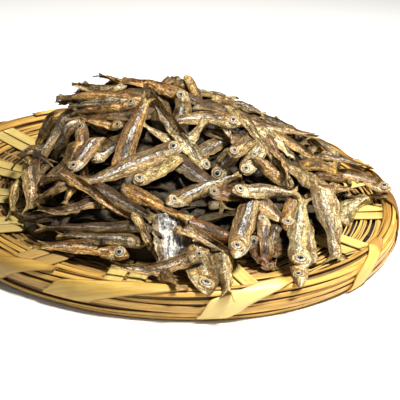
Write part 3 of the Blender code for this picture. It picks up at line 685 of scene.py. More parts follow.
# The fish that show, lowest first: their pixels in the photograph from snout to tail, their width in
# pixels and their look, then the shares of the length between which a partly hidden one shows
SHOWN_FISH = {
    # Behind and along the ridge
    # A near-black fish under the ridge's long fish, as painted shadow
    "ridge_shadow": (((178, 95), (150, 92), (112, 92)), 9, "dark", 0.2, 1.0),
    "ridge_long": (((186, 93), (165, 88), (140, 83), (113, 83), (99, 75)), 7, "golden", 0.16, 0.93),
    "ridge_small_brown": (((170, 79), (185, 82)), 6, "brown", 0.3, 0.9),
    "right_fill_1": (((230, 106), (264, 121)), 10, "dark", 0.2, 0.9),
    "right_fill_2": (((256, 117), (296, 133)), 10, "brown", 0.2, 0.9),
    "ridge_grey": (((178, 80), (200, 94)), 8, "grey", 0.3, 1.0),
    "ridge_nub": (((188, 77), (196, 95), (202, 112)), 8, "golden", 0.1, 0.6),
    "right_ridge_1": (((200, 92), (235, 99)), 8, "grey", 0.25, 1.0),
    "right_ridge_2": (((215, 97), (250, 108)), 8, "tan", 0.2, 0.95),
    "right_ridge_3": (((240, 104), (266, 115)), 8, "grey", 0.3, 1.0),
    "ridge_dark": (((188, 97), (215, 110)), 8, "dark", 0.3, 0.9),
    "ridge_tan_left": (((127, 86), (100, 91), (71, 84)), 8, "tan"),
    "ridge_left_tip": (((140, 97), (90, 95), (56, 97)), 11, "golden", 0.15, 0.97),
    "ridge_silver": (((125, 100), (95, 103), (68, 106)), 8, "silver", 0.15, 1.0),
    "ridge_olive": (((140, 102), (105, 109), (71, 112)), 10, "golden"),
    "below_ridge_dark": (((140, 113), (110, 117), (82, 118)), 10, "brown", 0.15, 0.9),
    "below_ridge_gold": (((123, 126), (100, 122), (78, 121)), 10, "golden"),
    "right_dark_1": (((200, 105), (225, 110), (250, 118)), 9, "brown", 0.2, 0.9),
    "right_dark_2": (((293, 129), (275, 122), (258, 115)), 7, "dark", 0.3, 1.0),
    "right_orange": (((302, 138), (316, 152)), 9, "brown", 0.4, 1.0),
    "right_dark_tip": (((240, 120), (262, 127), (290, 131), (318, 135)), 9, "tan", 0.18, 1.0),
    "right_snout_down": (((340, 157), (326, 146), (308, 137)), 9, "tan", 0.0, 0.7),
    "right_silver_long": (((262, 128), (284, 140), (330, 168)), 10, "tan", 0.15, 1.0),
    "far_right_silver": (((324, 156), (350, 162), (372, 167)), 6, "silver", 0.2, 1.0),
    "far_right_gold": (((318, 163), (335, 172), (352, 182)), 10, "golden", 0.3, 1.0),
    "far_right_snout": (((391, 190), (372, 183), (344, 174)), 12, "tan", 0.0, 0.75),
    "far_right_low": (((355, 197), (388, 197)), 5, "brown", 0.3, 1.0),
    "upper_orange": (((150, 83), (166, 92), (180, 98)), 9, "golden", 0.3, 0.9),
    "ridge_white_gill": (((179, 89), (184, 106), (178, 127)), 14, "gilled", 0.0, 0.6),
    "right_thin_pale": (((232, 108), (262, 142), (279, 169)), 8, "tan", 0.2, 1.0),
    # Centre
    "grey_silver_centre": (((192, 157), (212, 147), (231, 137)), 16, "grey", 0.3, 0.85),
    "brown_under_striped": (((201, 130), (218, 134), (238, 139)), 9, "brown", 0.0, 0.6),
    "thin_silver": (((226, 129), (234, 143)), 6, "silver", 0.5, 1.0),
    "pale_middle": (((215, 179), (222, 168), (232, 154)), 17, "pale", 0.0, 0.5),
    "pale_centre_small": (((229, 156), (240, 148), (253, 139)), 14, "tan", 0.0, 0.5),
    "cream_centre": (((244, 175), (250, 162), (260, 148)), 16, "pale", 0.0, 0.52),
    "pale_oval": (((262, 130), (277, 143), (294, 157)), 11, "pale", 0.12, 0.9),
    "brown_pale_right": (((292, 188), (278, 175), (256, 159)), 13, "tan", 0.0, 0.8),
    "pale_olive_right": (((327, 191), (308, 180), (287, 166)), 17, "tan", 0.2, 0.9),
    "thin_right_1": (((268, 138), (280, 160), (291, 187)), 8, "brown", 0.2, 1.0),
    "thin_right_2": (((281, 157), (289, 180)), 7, "golden", 0.4, 1.0),
    "across_top": (((241, 124), (225, 119), (200, 117), (163, 122)), 13, "silver"),
    "wide_right_lobe": (((182, 146), (164, 119), (150, 97)), 15, "silver", 0.3, 0.92),
    "pale_streak": (((180, 147), (160, 135), (138, 121)), 9, "pale", 0.35, 1.0),
    "pale_forked_tail": (((181, 146), (196, 132), (206, 118)), 15, "pale", 0.5, 1.0),
    "silver_belly": (((90, 161), (106, 152), (124, 141)), 13, "silver", 0.0, 0.7),
    "wide_upright": (((122, 176), (130, 138), (147, 98)), 20, "striped", 0.25, 0.92),
    "dark_glossy": (((176, 162), (196, 175), (214, 187)), 15, "dark", 0.3, 0.8),
    "cream_cap": (((208, 169), (195, 156), (178, 136)), 13, "pale", 0.0, 0.75),
    "across_middle": (((185, 143), (160, 154), (120, 171), (77, 185)), 16, "silver"),
    "tan_below_middle": (((133, 183), (155, 172), (181, 158)), 13, "tan", 0.0, 0.75),
    # Left
    "grey_mottled_1": (((67, 117), (50, 145), (33, 171)), 12, "grey", 0.22, 0.92),
    "grey_dark_far": (((52, 118), (44, 132), (36, 148)), 12, "golden", 0.3, 0.9),
    "grey_mottled_2": (((73, 124), (64, 138), (54, 152)), 13, "grey", 0.3, 0.9),
    # A near-black fish where the heap's left shows dark shadow, as painted shadow
    "left_black_shadow": (((24, 151), (48, 161)), 11, "dark", 0.3, 0.9),
    "left_head_top": (((80, 120), (83, 140), (81, 162)), 12, "golden", 0.0, 0.62),
    "brown_arch": (((78, 146), (72, 160), (60, 177)), 13, "golden", 0.2, 0.8),
    "head_bottom": (((70, 173), (80, 160), (96, 140)), 14, "gilled", 0.0, 0.62),
    "small_teal": (((29, 149), (13, 166)), 8, "grey", 0.5, 1.0),
    "thin_pale_left": (((27, 159), (40, 176)), 6, "tan", 0.5, 1.0),
    "left_tan": (((43, 178), (65, 176)), 10, "golden", 0.5, 1.0),
    "grey_brown_left": (((69, 182), (55, 190), (39, 198)), 12, "brown", 0.4, 1.0),
    "golden_left_small": (((72, 187), (64, 205)), 10, "golden", 0.55, 1.0),
    "tail_left_edge": (((27, 177), (14, 192), (12, 215)), 13, "tan", 0.45, 1.0),
    "leaf_left": (((30, 166), (33, 188), (29, 211)), 19, "tan", 0.35, 1.0),
    "bright_left": (((93, 203), (60, 214), (35, 207)), 9, "grey", 0.25, 1.0),
    # Middle band, with one at its right end
    "front_head_down": (((206, 295), (203, 272), (197, 242)), 25, "tan", 0.0, 0.6),
    "tail_on_rim": (((222, 254), (226, 277), (228, 297)), 20, "pale", 0.35, 1.0),
    "brown_under_long": (((208, 193), (224, 194), (242, 197)), 13, "red", 0.0, 0.6),
    "tan_blue_line": (((250, 193), (266, 208), (285, 224)), 14, "tan", 0.2, 0.9),
    "red_low": (((182, 221), (208, 229), (237, 240)), 15, "red", 0.15, 0.85),
    "tan_low": (((181, 229), (206, 241), (236, 256)), 10, "tan", 0.2, 1.0),
    "pointed_dark": (((96, 188), (122, 203), (156, 220)), 14, "dark", 0.15, 1.0),
    "orange_long": (((62, 173), (90, 191), (114, 212), (142, 224)), 10, "golden", 0.12, 1.0),
    "right_band_1": (((321, 190), (353, 188)), 10, "tan", 0.3, 1.0),
    # Lower left
    "long_dark_left": (((142, 226), (90, 228), (34, 228)), 11, "dark", 0.12, 1.0),
    "long_silver_left": (((133, 240), (95, 238), (54, 236)), 12, "grey", 0.15, 1.0),
    "red_belly_low": (((129, 257), (110, 249), (75, 247), (36, 246)), 15, "golden"),
    "thin_pale_low": (((137, 218), (149, 243), (162, 267)), 7, "tan", 0.25, 1.0),
    "opened_belly": (((168, 213), (172, 236), (174, 263)), 40, "opened"),
    "golden_blue_line": (((126, 189), (149, 201), (191, 220)), 13, "golden", 0.14, 1.0),
    # Right
    "right_band_2": (((322, 175), (352, 183)), 8, "brown", 0.3, 1.0),
    "dark_right_low": (((276, 229), (271, 247)), 10, "dark", 0.3, 0.9),
    "golden_right": (((286, 231), (289, 214), (298, 195)), 15, "golden", 0.0, 0.6),
    "dark_behind_head": (((262, 253), (277, 250), (293, 252)), 12, "brown", 0.0, 0.5),
    "orange_snout": (((249, 236), (257, 248), (267, 264)), 14, "red", 0.0, 0.5),
    "white_black_eye": (((261, 212), (264, 229), (267, 247)), 13, "silver", 0.0, 0.5),
    "big_silver_head": (((234, 258), (242, 232), (252, 199)), 20, "gilled_pale", 0.0, 0.6),
    "cream_far_right": (((341, 217), (352, 208), (367, 198)), 21, "pale", 0.12, 0.95),
    "right_wide_hanging": (((321, 188), (331, 222), (336, 264)), 23, "pale", 0.12, 0.97),
    "behind_hanging_low": (((300, 287), (298, 262), (300, 235)), 16, "tan", 0.0, 0.6),
    "thin_hanging": (((313, 263), (310, 236), (303, 204)), 12, "silver", 0.0, 0.8),
    "right_pale_hanging": (((302, 269), (298, 240), (303, 195)), 22, "pale"),
    "striped_middle": (((166, 204), (190, 194), (215, 184), (242, 173)), 15, "silver"),
    "cream_long": (((232, 191), (255, 190), (278, 191), (300, 193)), 14, "pale"),
    # Front
    "dark_front_low": (((162, 272), (182, 289)), 12, "brown", 0.4, 1.0),
    "front_curved": (((209, 250), (185, 260), (155, 273), (108, 264)), 13, "silver"),
}


# Laying the fish


def run_along(points):
    """Distance along a line of points, from its first."""
    return np.concatenate([[0.0], np.cumsum(np.linalg.norm(np.diff(points, axis=0), axis=1))])


def evenly(points, samples):
    """This many points at even steps along a line of points."""
    run = run_along(points)
    shares = np.linspace(0.0, run[-1], samples)
    return np.stack([np.interp(shares, run, column) for column in points.T], axis=1)


def stiffened(values, times, steepest=math.inf):
    """A stiff fish's straight line through these values, drawn towards them only in part."""
    places = np.linspace(-0.5, 0.5, len(values))
    slope, level = np.polyfit(places, values, 1)
    straight = level + min(max(slope, -steepest), steepest) * places
    return smooth(straight + FISH_DRAPE * (values - straight), times)


def field_index(value):
    """The row or column of a place in the grid of heights."""
    last = int(round(2 * FIELD_HALF_SIDE / CELL))
    return np.clip(np.rint((value + FIELD_HALF_SIDE) / CELL).astype(int), 0, last)


def field_at(field, x, y):
    """The height of what is laid so far."""
    return field[field_index(y), field_index(x)]


def start_field():
    """Heights of the bare core and tray, which the fish are laid on."""
    side = np.linspace(-FIELD_HALF_SIDE, FIELD_HALF_SIDE, int(round(2 * FIELD_HALF_SIDE / CELL)) + 1)
    grid_x, grid_y = np.meshgrid(side, side)
    return np.maximum(tray_top(np.hypot(grid_x, grid_y)), heap_top(grid_x, grid_y) - CORE_DEPTH)


def stamp(field, points):
    """Raises the field to the points of a fish that has been laid."""
    rings = points.reshape(FISH_RINGS, FISH_SIDES, 3)
    fine = np.linspace(0, FISH_RINGS - 1, 90)
    low = np.floor(fine).astype(int).clip(0, FISH_RINGS - 2)
    share = (fine - low)[:, None, None]
    dense = (rings[low] * (1.0 - share) + rings[low + 1] * share).reshape(-1, 3)
    np.maximum.at(field, (field_index(dense[:, 1]), field_index(dense[:, 0])), dense[:, 2])


def shown_path(field, pixels, samples=13):
    """Points along the pixels' rays, each where its ray meets what is already laid, stiffened."""
    given = np.array(pixels, float)
    rays = pixel_rays(smooth(evenly(given, samples), 3))
    depths = np.arange(*RAY_DEPTHS)
    reached = np.zeros(samples)
    for i, ray in enumerate(rays):
        points = CAMERA_PLACE + ray * depths[:, None]
        over = points[:, 2] - field_at(field, points[:, 0], points[:, 1])
        below = np.nonzero(over < 0.0)[0]
        reached[i] = depths[below[0]] if len(below) else depths[np.argmin(over)]
    middle = np.median(reached)
    span = LEAST_DEPTH_SPAN + STEEPEST_FISH * run_along(given)[-1] / PIXELS_FOCAL * middle
    reached = np.clip(reached, middle - span, middle + span)
    curved = stiffened(reached, 2)
    curved += np.sort(reached - curved)[SHOWN_CONTACTS]
    return CAMERA_PLACE + rays * curved[:, None]


def whole_path(path, normals, first, last):
    """The path of the whole fish, where only this share of it shows: the rest dips into the heap."""
    length = path_length(path) / (last - first)
    before = unit(unit(path[0] - path[1]) - DIP * normals[0])
    after = unit(unit(path[-1] - path[-2]) - DIP * normals[-1])
    line = path
    if first > 0.0:
        line = np.concatenate([[path[0] + before * first * length], line])
    if last < 1.0:
        line = np.concatenate([line, [path[-1] + after * (1.0 - last) * length]])
    line = evenly(line, 25)
    line[:, 2] = np.maximum(line[:, 2], floor_top(np.hypot(line[:, 0], line[:, 1])) + OVER_FLOOR)
    return line


def turned_to_camera(path):
    """The way the flank of a placed fish faces: off the heap, and partly to the camera."""
    return unit(form_normal(path[:, 0], path[:, 1]) + TURN_TO_CAMERA * unit(-camera_axes()[2]))


def lay_shown(field, piles, eyes):
    """Lays the fish that the photograph shows, each on those before it."""
    for index, (pixels, width, look, *part) in enumerate(SHOWN_FISH.values()):
        first, last = part or (0.0, 1.0)
        draws = np.random.default_rng((SEED, index))
        thickness = draws.uniform(*SHOWN_THICKNESSES)
        path = shown_path(field + thickness * SHOWN_LIFT, pixels)
        normals = turned_to_camera(path)
        across = unit(np.cross(normals, unit(np.gradient(path, axis=0))))
        middle = len(path) // 2
        half_millimetre = across[middle] / 2000
        pair = to_pixels(np.stack([path[middle] - half_millimetre, path[middle] + half_millimetre]))
        pixels_per_metre = np.linalg.norm(pair[1] - pair[0]) * 1000.0
        depth = float(np.clip(width / pixels_per_metre, *SHOWN_DEPTHS)) * SHOWN_WIDENING
        sign = 1.0 if pair[1][1] > pair[0][1] else -1.0
        path = whole_path(path, normals, first, last)
        normals = turned_to_camera(path)
        seen_eyes = eyes if first < 0.1 else None
        points = add_fish(piles, seen_eyes, path, normals, depth, thickness, look, draws, sign)
        stamp(field, points)


def fish_line(middle, heading, length, bend, samples=11):
    """Plan points along a fish from snout to tail, bent sideways by a share of its length."""
    along = np.linspace(-0.5, 0.5, samples)
    aside = bend * (0.25 - along**2) * 4.0 * length
    x = middle[0] + along * length * math.cos(heading) - aside * math.sin(heading)
    y = middle[1] + along * length * math.sin(heading) + aside * math.cos(heading)
    return x, y


def line_within(middle, heading, length, bend, depth):
    """The plan points of a fish, moved inwards where it would pass the heap's outline too far."""
    x, y = fish_line(middle, heading, length, bend)
    past = np.hypot(x, y).max() + depth / 2
    over = FRONT_LIMIT if middle[1] < OUTLINE_FRONT else BACK_LIMIT
    limit = min(FISH_REACH, float(outline_radius(math.atan2(middle[1], middle[0]))) + over)
    if past > limit:
        middle = middle * (1.0 - (past - limit) / max(np.hypot(*middle), 1e-6))
        x, y = fish_line(middle, heading, length, bend)
    return x, y, middle


def resting_heights(field, x, y, half_width, half_thickness):
    """Heights of a stiff fish that lies on what is already there and bends to it only in part."""
    heading = math.atan2(y[-1] - y[0], x[-1] - x[0])
    under = np.zeros(len(x))
    for aside in (-half_width, 0.0, half_width):
        under += field_at(field, x - aside * math.sin(heading), y + aside * math.cos(heading)) / 3.0
    under += half_thickness
    curved = stiffened(under, 1, STEEPEST_FISH * math.hypot(x[-1] - x[0], y[-1] - y[0]))
    return curved + np.sort(under - curved)[-FISH_CONTACTS] - FISH_SINK


def buried_shade(path):
    """Painted shade at each point of a fish: nearly black deep in the heap, lighter where it stands out."""
    over = path[:, 2] - heap_top(path[:, 0], path[:, 1])
    shade = BURIED_SHADE + (STANDING_SHADE - BURIED_SHADE) * ease(-STANDING_HEIGHT, STANDING_HEIGHT, over)
    return np.repeat(np.interp(FISH_PLACES, np.linspace(0.0, 1.0, len(path)), shade), FISH_SIDES)


def hides_bare_tray(path):
    """Whether a fish would cover a part of the tray that shows bare in the photograph."""
    seen = to_pixels(path)
    for left, top, right, bottom in BARE_TRAY:
        across = (seen[:, 0] > left) & (seen[:, 0] < right)
        if (across & (seen[:, 1] > top) & (seen[:, 1] < bottom)).any():
            return True
    return False


def lay_filling(field, piles, eyes, draws, count, turn, front):
    """Lays fish spread evenly over the heap, outer ones first. Eyes deep in its front are left out."""
    unseen_eyes = Pile()
    for index in reversed(range(count)):
        angle = (index + turn) * GOLDEN_ANGLE
        share = FILLED_SHARE * math.sqrt((index + 0.5) / count)
        radius = share * float(outline_radius(angle)) + draws.normal(0.0, FILLING_JITTER)
        middle = np.array((radius * math.cos(angle), radius * math.sin(angle)))
        if not front and middle[1] < BACK_FISH_START and abs(middle[0]) < BACK_FISH_HALF_GAP:
            continue
        heading = draws.uniform(-math.pi, math.pi)
        if radius > ROUND_THE_RIM:
            heading = angle + draws.normal(math.pi / 2, ROUND_SPREAD) + math.pi * draws.integers(0, 2)
        length = draws.uniform(*FISH_LENGTHS)
        depth = draws.uniform(*FISH_DEPTHS) * (1.0 if front else BACK_WIDENING)
        thickness = draws.uniform(*FISH_THICKNESSES)
        x, y, middle = line_within(middle, heading, length, draws.normal(0.0, FISH_BEND), depth)
        path = np.stack([x, y, resting_heights(field, x, y, depth * RESTING_SHARE, thickness / 2)], axis=1)
        if front and hides_bare_tray(path):
            continue
        along = unit(np.gradient(path, axis=0))
        normals = form_normal(x, y)
        roll = draws.normal(0.0, FISH_ROLL)
        normals = unit(normals * math.cos(roll) + np.cross(along, normals) * math.sin(roll))
        look = COMMON_LOOKS[draws.integers(0, len(COMMON_LOOKS))]
        sign = 1.0 if draws.uniform() < 0.5 else -1.0
        shade = buried_shade(path) if front and middle[1] < BURIED_FRONT else BACK_SHADE
        seen_eyes = eyes if np.mean(shade) > SHADE_WITH_EYES else unseen_eyes
        points = add_fish(piles, seen_eyes, path, normals, depth, thickness, look, draws, sign, shade)
        stamp(field, points)


# Node materials

# Colours of the skin, and tints that multiply what is under them
FURROW_TONE_AND_SHADE = (0.44, 0.37, 0.28)
STAINED_FURROW_TONE_AND_SHADE = (0.30, 0.22, 0.14)
SKIN_TINT = (0.92, 0.88, 0.80)
WEAR_AND_HIGHLIGHT_TINT = (1.72, 1.80, 1.84)
BROWN_PATCH_TINT = (0.42, 0.27, 0.14)
PALE_PATCH_TINT = (1.30, 1.42, 1.68)
RIDGE_HIGHLIGHT_TINT = (1.60, 1.65, 1.68)
PORE_TINTS = ((0.56, 0.55, 0.51), (1.31, 1.38, 1.45))
DARK_BACK = (0.070, 0.036, 0.012)
GOLDEN_BELLY = (0.66, 0.47, 0.19)
RED_STAIN = (0.25, 0.078, 0.020)
SOOT = (0.032, 0.020, 0.010)
FOILS_AND_GLINTS = ((0.15, 0.135, 0.11), (0.80, 0.74, 0.60))
LINE_BORDER = (0.050, 0.029, 0.013)
DULL_SILVER = ((0.22, 0.23, 0.24), (0.44, 0.38, 0.30))
BRIGHT_SILVER_AND_GLINTS = ((0.72, 0.71, 0.69), (0.64, 0.61, 0.55))
WHITE_CHEEK = (0.80, 0.73, 0.56)
CROWN = (0.20, 0.115, 0.050)
GILL = (0.060, 0.032, 0.016)
MOUTH = (0.050, 0.028, 0.014)
TAIL_RAYS = ((0.17, 0.10, 0.040), (0.60, 0.45, 0.20))
KEEL_SHADOW = (0.070, 0.038, 0.016)
FIN_EDGE_HIGHLIGHT = (0.50, 0.30, 0.10)
CHARRED = (0.020, 0.013, 0.009)
FOLD_SHADE = (0.030, 0.017, 0.008)
SKIN_GLOSS_TINT = (1.0, 0.84, 0.60)
SKIN_GAMMA = 1.15
SKIN_SHINE = {"golden_fish": 0.12, "brown_fish": 0.12, "silver_fish": 0.20, "dark_fish": 0.16}

# Colours of the eyes, dull and bright
PUPIL = (0.005, 0.006, 0.008)
IRIS_DARK = (0.12, 0.10, 0.07)
IRIS_LIGHTS = ((0.20, 0.18, 0.13), (0.56, 0.52, 0.40))
EYE_RIM = (0.035, 0.026, 0.016)
LID_SKINS = ((0.26, 0.15, 0.050), (0.68, 0.53, 0.27))
LID_FOLD_TINT = (0.45, 0.36, 0.25)
LID_EDGE_TINT = (0.45, 0.34, 0.22)

# Colours of the splints
SUNNED_TINT = (1.14, 1.10, 0.95)
DULLED_TINT = (0.70, 0.58, 0.42)
FIBRE_TINT = (0.60, 0.50, 0.38)
SPLINT_EDGE_TINT = (0.34, 0.22, 0.12)
SPECK = (0.16, 0.085, 0.03)
AGED_SPLINT = (0.30, 0.125, 0.030)
BLEACHED_SPLINT = (0.82, 0.64, 0.25)
# Painted shade for the gaps deep in the heap
HEAP_GAP_SHADES = ((0.006, 0.004, 0.0025), (0.030, 0.018, 0.009))
STAGE_WHITE = (0.88, 0.88, 0.87)
# Each kind of splint: its dull and its bright colour, and how strong its specks are
SPLINTS = {
    "golden_splint": ((0.46, 0.25, 0.046), (0.68, 0.41, 0.090), 1.0),
    "dark_splint": ((0.30, 0.155, 0.040), (0.52, 0.31, 0.085), 1.0),
    "pale_splint": ((0.58, 0.42, 0.115), (0.69, 0.53, 0.18), 0.5),
    "ribbon_splint": ((0.60, 0.36, 0.062), (0.77, 0.51, 0.110), 0.6),
}


class Value:
    """A node's output. Sums, differences and products of these make the nodes that they read as."""

    def __init__(self, shader, socket):
        self.shader = shader
        self.socket = socket

    def __add__(self, other):
        return self.shader.math("ADD", self, other)

    def __sub__(self, other):
        return self.shader.math("SUBTRACT", self, other)

    def __rsub__(self, other):
        return self.shader.math("SUBTRACT", other, self)

    def __mul__(self, other):
        return self.shader.math("MULTIPLY", self, other)

    def __abs__(self):
        return self.shader.math("ABSOLUTE", self)

    def clamped(self):
        """The same sum or product, held between 0 and 1."""
        self.socket.node.use_clamp = True
        return self


class Shader:
    """A material's node tree with short calls for the nodes that the finishes use."""

    def __init__(self, name):
        self.material = bpy.data.materials.new(name)
        self.material.use_nodes = True
        self.tree = self.material.node_tree
        self.principled = self.tree.nodes["Principled BSDF"]

    def plug(self, socket, value):
        """Links a value to the socket, or sets the socket's own number or colour."""
        if isinstance(value, Value):
            self.tree.links.new(value.socket, socket)
        elif isinstance(value, tuple) and len(value) == 3 and socket.type == "RGBA":
            socket.default_value = (*value, 1.0)
        else:
            socket.default_value = value

    def node(self, kind, output, inputs, **settings):
        """The output of a new node with these settings and inputs."""
        made = self.tree.nodes.new(kind)
        for key, value in settings.items():
            setattr(made, key, value)
        for key, value in inputs.items():
            self.plug(made.inputs[key], value)
        return Value(self, made.outputs[output])

    def math(self, operation, *values):
        return self.node("ShaderNodeMath", 0, dict(enumerate(values)), operation=operation)

    def greater(self, first, second):
        return self.math("MAXIMUM", first, second)

    def mix(self, share, first, second, blend="MIX"):
        inputs = {"Factor": share, "A": first, "B": second}
        return self.node("ShaderNodeMix", "Result", inputs, data_type="RGBA", blend_type=blend)

    def tinted(self, base, tint):
        return self.mix(1.0, base, tint, "MULTIPLY")

    def noise(self, vector, scale, detail=3.0, roughness=0.55, distortion=0.0, stretch=None):
        if stretch:
            vector = self.node("ShaderNodeVectorMath", 0, {0: vector, 1: stretch}, operation="MULTIPLY")
        inputs = {"Vector": vector, "Scale": scale, "Detail": detail, "Roughness": roughness}
        inputs["Distortion"] = distortion
        return self.node("ShaderNodeTexNoise", "Fac", inputs)

    def attribute(self, name):
        return self.node("ShaderNodeAttribute", "Vector", {}, attribute_name=name)

    def parts(self, name):
        """The three numbers of a point attribute."""
        first = self.node("ShaderNodeSeparateXYZ", 0, {0: self.attribute(name)})
        return [Value(self, socket) for socket in first.socket.node.outputs]

    def shaded(self, vector, share):
        return self.node("ShaderNodeVectorMath", 0, {0: vector, "Scale": share}, operation="SCALE")

    def band(self, value, low, high, out_low=0.0, out_high=1.0):
        """A smooth step between two values."""
        inputs = dict(enumerate((value, low, high, out_low, out_high)))
        return self.node("ShaderNodeMapRange", 0, inputs, interpolation_type="SMOOTHSTEP")

    def hump(self, value, half_width):
        """1 at zero, falling to 0 at half a width to either side."""
        return self.band(abs(value), 0.0, half_width, 1.0, 0.0)

    def plateau(self, value, half_width):
        """1 near zero, falling to 0 near the half width to either side."""
        return self.band(abs(value), half_width * 0.55, half_width, 1.0, 0.0)

    def set(self, name, value):
        self.plug(self.principled.inputs[name], value)

    def bump(self, height, distance, strength=1.0):
        """Relief in the shading alone."""
        inputs = {"Strength": strength, "Distance": distance, "Height": height}
        self.set("Normal", self.node("ShaderNodeBump", 0, inputs))


class Skin(Shader):
    """Dried skin. Each method lays one kind of mark over the base colour.

    t runs from snout to tail, u from back to belly, and own is a random number of each fish.
    """

    def __init__(self, name):
        super().__init__(name)
        self.t, self.u, self.own = self.parts("place")
        self.grain = self.attribute("grain")
        self.stripe, self.red, self.dark = self.parts("marks")
        self.relief, self.fold, self.shade = self.parts("crease")
        self.streak = self.noise(self.grain, 270.0, 6.0, 0.76, 0.8, (1.0, 3.4, 2.0))
        self.speckle = self.noise(self.grain, 700.0, 4.0, 0.72, 0.0, (0.7, 2.1, 1.5))
        self.blotch = self.noise(self.grain, 170.0, 5.0, 0.65, 0.8)
        self.grit = self.speckle - 0.5
        self.body = self.band(self.t, 0.19, 0.25) * self.band(self.t, 0.84, 0.92, 1.0, 0.0)
        self.bare = self.band(self.stripe, 1.2, 1.8)

    def worn_and_lit(self):
        """The fish's own tone: darker in its furrows, partly as painted shade, and pale in flecks of wear
        and painted highlight, in brown and pale patches.
        """
        worn_and_lit = self.streak + self.relief * 0.10 + self.grit * 0.80
        stained = self.band(self.dark, -0.04, 0.16)
        # Dark furrows, partly own tone and partly painted shade; the palest flecks are painted highlight
        base = self.mix(stained, FURROW_TONE_AND_SHADE, STAINED_FURROW_TONE_AND_SHADE)
        base = self.mix(self.band(worn_and_lit, 0.40, 0.50), base, SKIN_TINT)
        base = self.mix(self.band(worn_and_lit, 0.52, 0.60), base, WEAR_AND_HIGHLIGHT_TINT)
        base = self.tinted(base, self.attribute("tone"))
        patches = self.noise(self.grain, 270.0, 6.0, 0.70, 0.6, (1.0, 1.5, 1.0))
        brown = self.band(patches, 0.49, 0.42) * (stained * 0.45 + 0.55)
        base = self.mix(brown, base, self.tinted(base, BROWN_PATCH_TINT))
        return self.mix(self.band(patches, 0.51, 0.59), base, self.tinted(base, PALE_PATCH_TINT))

    def back_and_belly(self, base):
        down = self.u + (self.blotch - 0.5) * 1.2
        back = self.band(down, 0.0, -0.45) * (self.own * 0.65 + 0.35)
        base = self.mix(back, base, self.mix(0.74, base, DARK_BACK))
        return self.mix(self.band(down, 0.15, 0.65) * 0.60, base, self.mix(0.55, base, GOLDEN_BELLY))

    def stains(self, base):
        reddish = self.band(self.blotch, 0.50, 0.62) * self.red
        base = self.mix((reddish * 0.75).clamped(), base, RED_STAIN)
        soot = self.band(self.blotch, 0.47, 0.34) * (self.dark + 0.30)
        return self.mix(soot.clamped(), base, SOOT)

    def film(self):
        """How much of the thin silver film is left at each place of the flank."""
        film = self.noise(self.grain, 300.0, 6.0, 0.80, 0.5, (1.0, 2.6, 1.6))
        film = self.band(film + self.grit * 0.8, 0.49, 0.57) * (self.hump(self.u - 0.08, 0.90) * self.body)
        return film * self.band(self.stripe, 0.30, 1.15, 0.06, 0.90)

    def silver_line(self, base):
        """The broken silver line along the flank between its dark borders, and its strength."""
        broad = self.noise(self.grain, 70.0, 2.0, 0.5)
        level = self.u + 0.04 + (broad - 0.5) * 0.45 + self.grit * 0.35
        broken = self.greater(self.band(self.blotch + self.grit * 0.5, 0.38, 0.48), self.bare)
        strength = broken * self.band(self.stripe, 0.25, 0.95, 0.15, 1.0) * self.body
        border = self.hump(abs(level) - 0.30, 0.15) * (1.0 - self.bare) * strength
        base = self.mix((border * 0.75).clamped(), base, LINE_BORDER)
        line = self.plateau(level, self.band(self.stripe, 1.0, 2.0, 0.24, 0.36)) * strength
        line = line.clamped()
        dull = self.mix(self.bare, *DULL_SILVER)
        # Own silver, its brightest flecks painted glints
        silver_and_glints = self.mix(self.band(self.speckle, 0.42, 0.56), dull, self.mix(self.bare, *BRIGHT_SILVER_AND_GLINTS))
        return self.mix(line * 0.95, base, silver_and_glints), line

    def head(self, base):
        """A pale cheek, a dark crown, the gill's edge and the mouth."""
        head = self.band(self.t, 0.215, 0.185)
        cheek = head * (self.band(self.u, -0.20, 0.15) * self.band(self.blotch, 0.40, 0.60))
        whitened = cheek * (self.stripe * 0.75 + 0.15)
        base = self.mix(whitened.clamped(), base, WHITE_CHEEK)
        base = self.mix(head * self.band(self.u, -0.25, -0.60) * 0.7, base, CROWN)
        gill = self.hump(self.t - (0.212 - self.u * self.u * 0.030), 0.010)
        base = self.mix(gill * self.band(self.blotch, 0.38, 0.60, 0.05, 0.75), base, GILL)
        mouth = self.hump(self.u - 0.22, 0.12) * self.band(self.t, 0.070, 0.050)
        return self.mix(mouth * 0.45, base, MOUTH)

    def tail_and_painted_edges(self, base):
        rays = self.noise(self.grain, 420.0, 2.0, 0.6, 0.0, (0.35, 6.0, 1.0))
        tail = self.mix(self.band(rays, 0.35, 0.62), *TAIL_RAYS)
        base = self.mix(self.band(self.t, 0.87, 0.93) * 0.8, base, tail)
        # Painted shadow in a dark band along the keels, and a painted highlight on the thin edge
        keel_shadow = self.hump(abs(self.u) - 0.80, 0.16) * self.band(self.blotch, 0.35, 0.65, 0.15, 0.75)
        base = self.mix(keel_shadow, base, KEEL_SHADOW)
        return self.mix(self.band(abs(self.u), 0.92, 1.0) * 0.55, base, FIN_EDGE_HIGHLIGHT)

    def depths(self, base):
        """Own dark marks and pores; darker and browner in the folds and paler on them as painted shade and
        highlight, and painted shade deep in the heap.
        """
        base = self.mix((self.dark * 0.5).clamped(), base, self.mix(0.80, base, CHARRED))
        # Painted shade in the folds, and painted highlight on their ridges
        sunk = self.band(self.fold, -0.3, -1.9) * (self.bare * -0.62 + 0.75)
        base = self.mix(sunk, base, self.mix(0.85, base, FOLD_SHADE))
        base = self.mix(self.band(self.fold, 0.6, 2.0) * 0.60, base, self.tinted(base, RIDGE_HIGHLIGHT_TINT))
        pores = self.noise(self.grain, 1500.0, 2.0, 0.6)
        base = self.tinted(base, self.mix(self.band(pores, 0.38, 0.62), *PORE_TINTS))
        base = self.node("ShaderNodeGamma", 0, {"Color": base, "Gamma": SKIN_GAMMA})
        return self.shaded(base, self.shade)


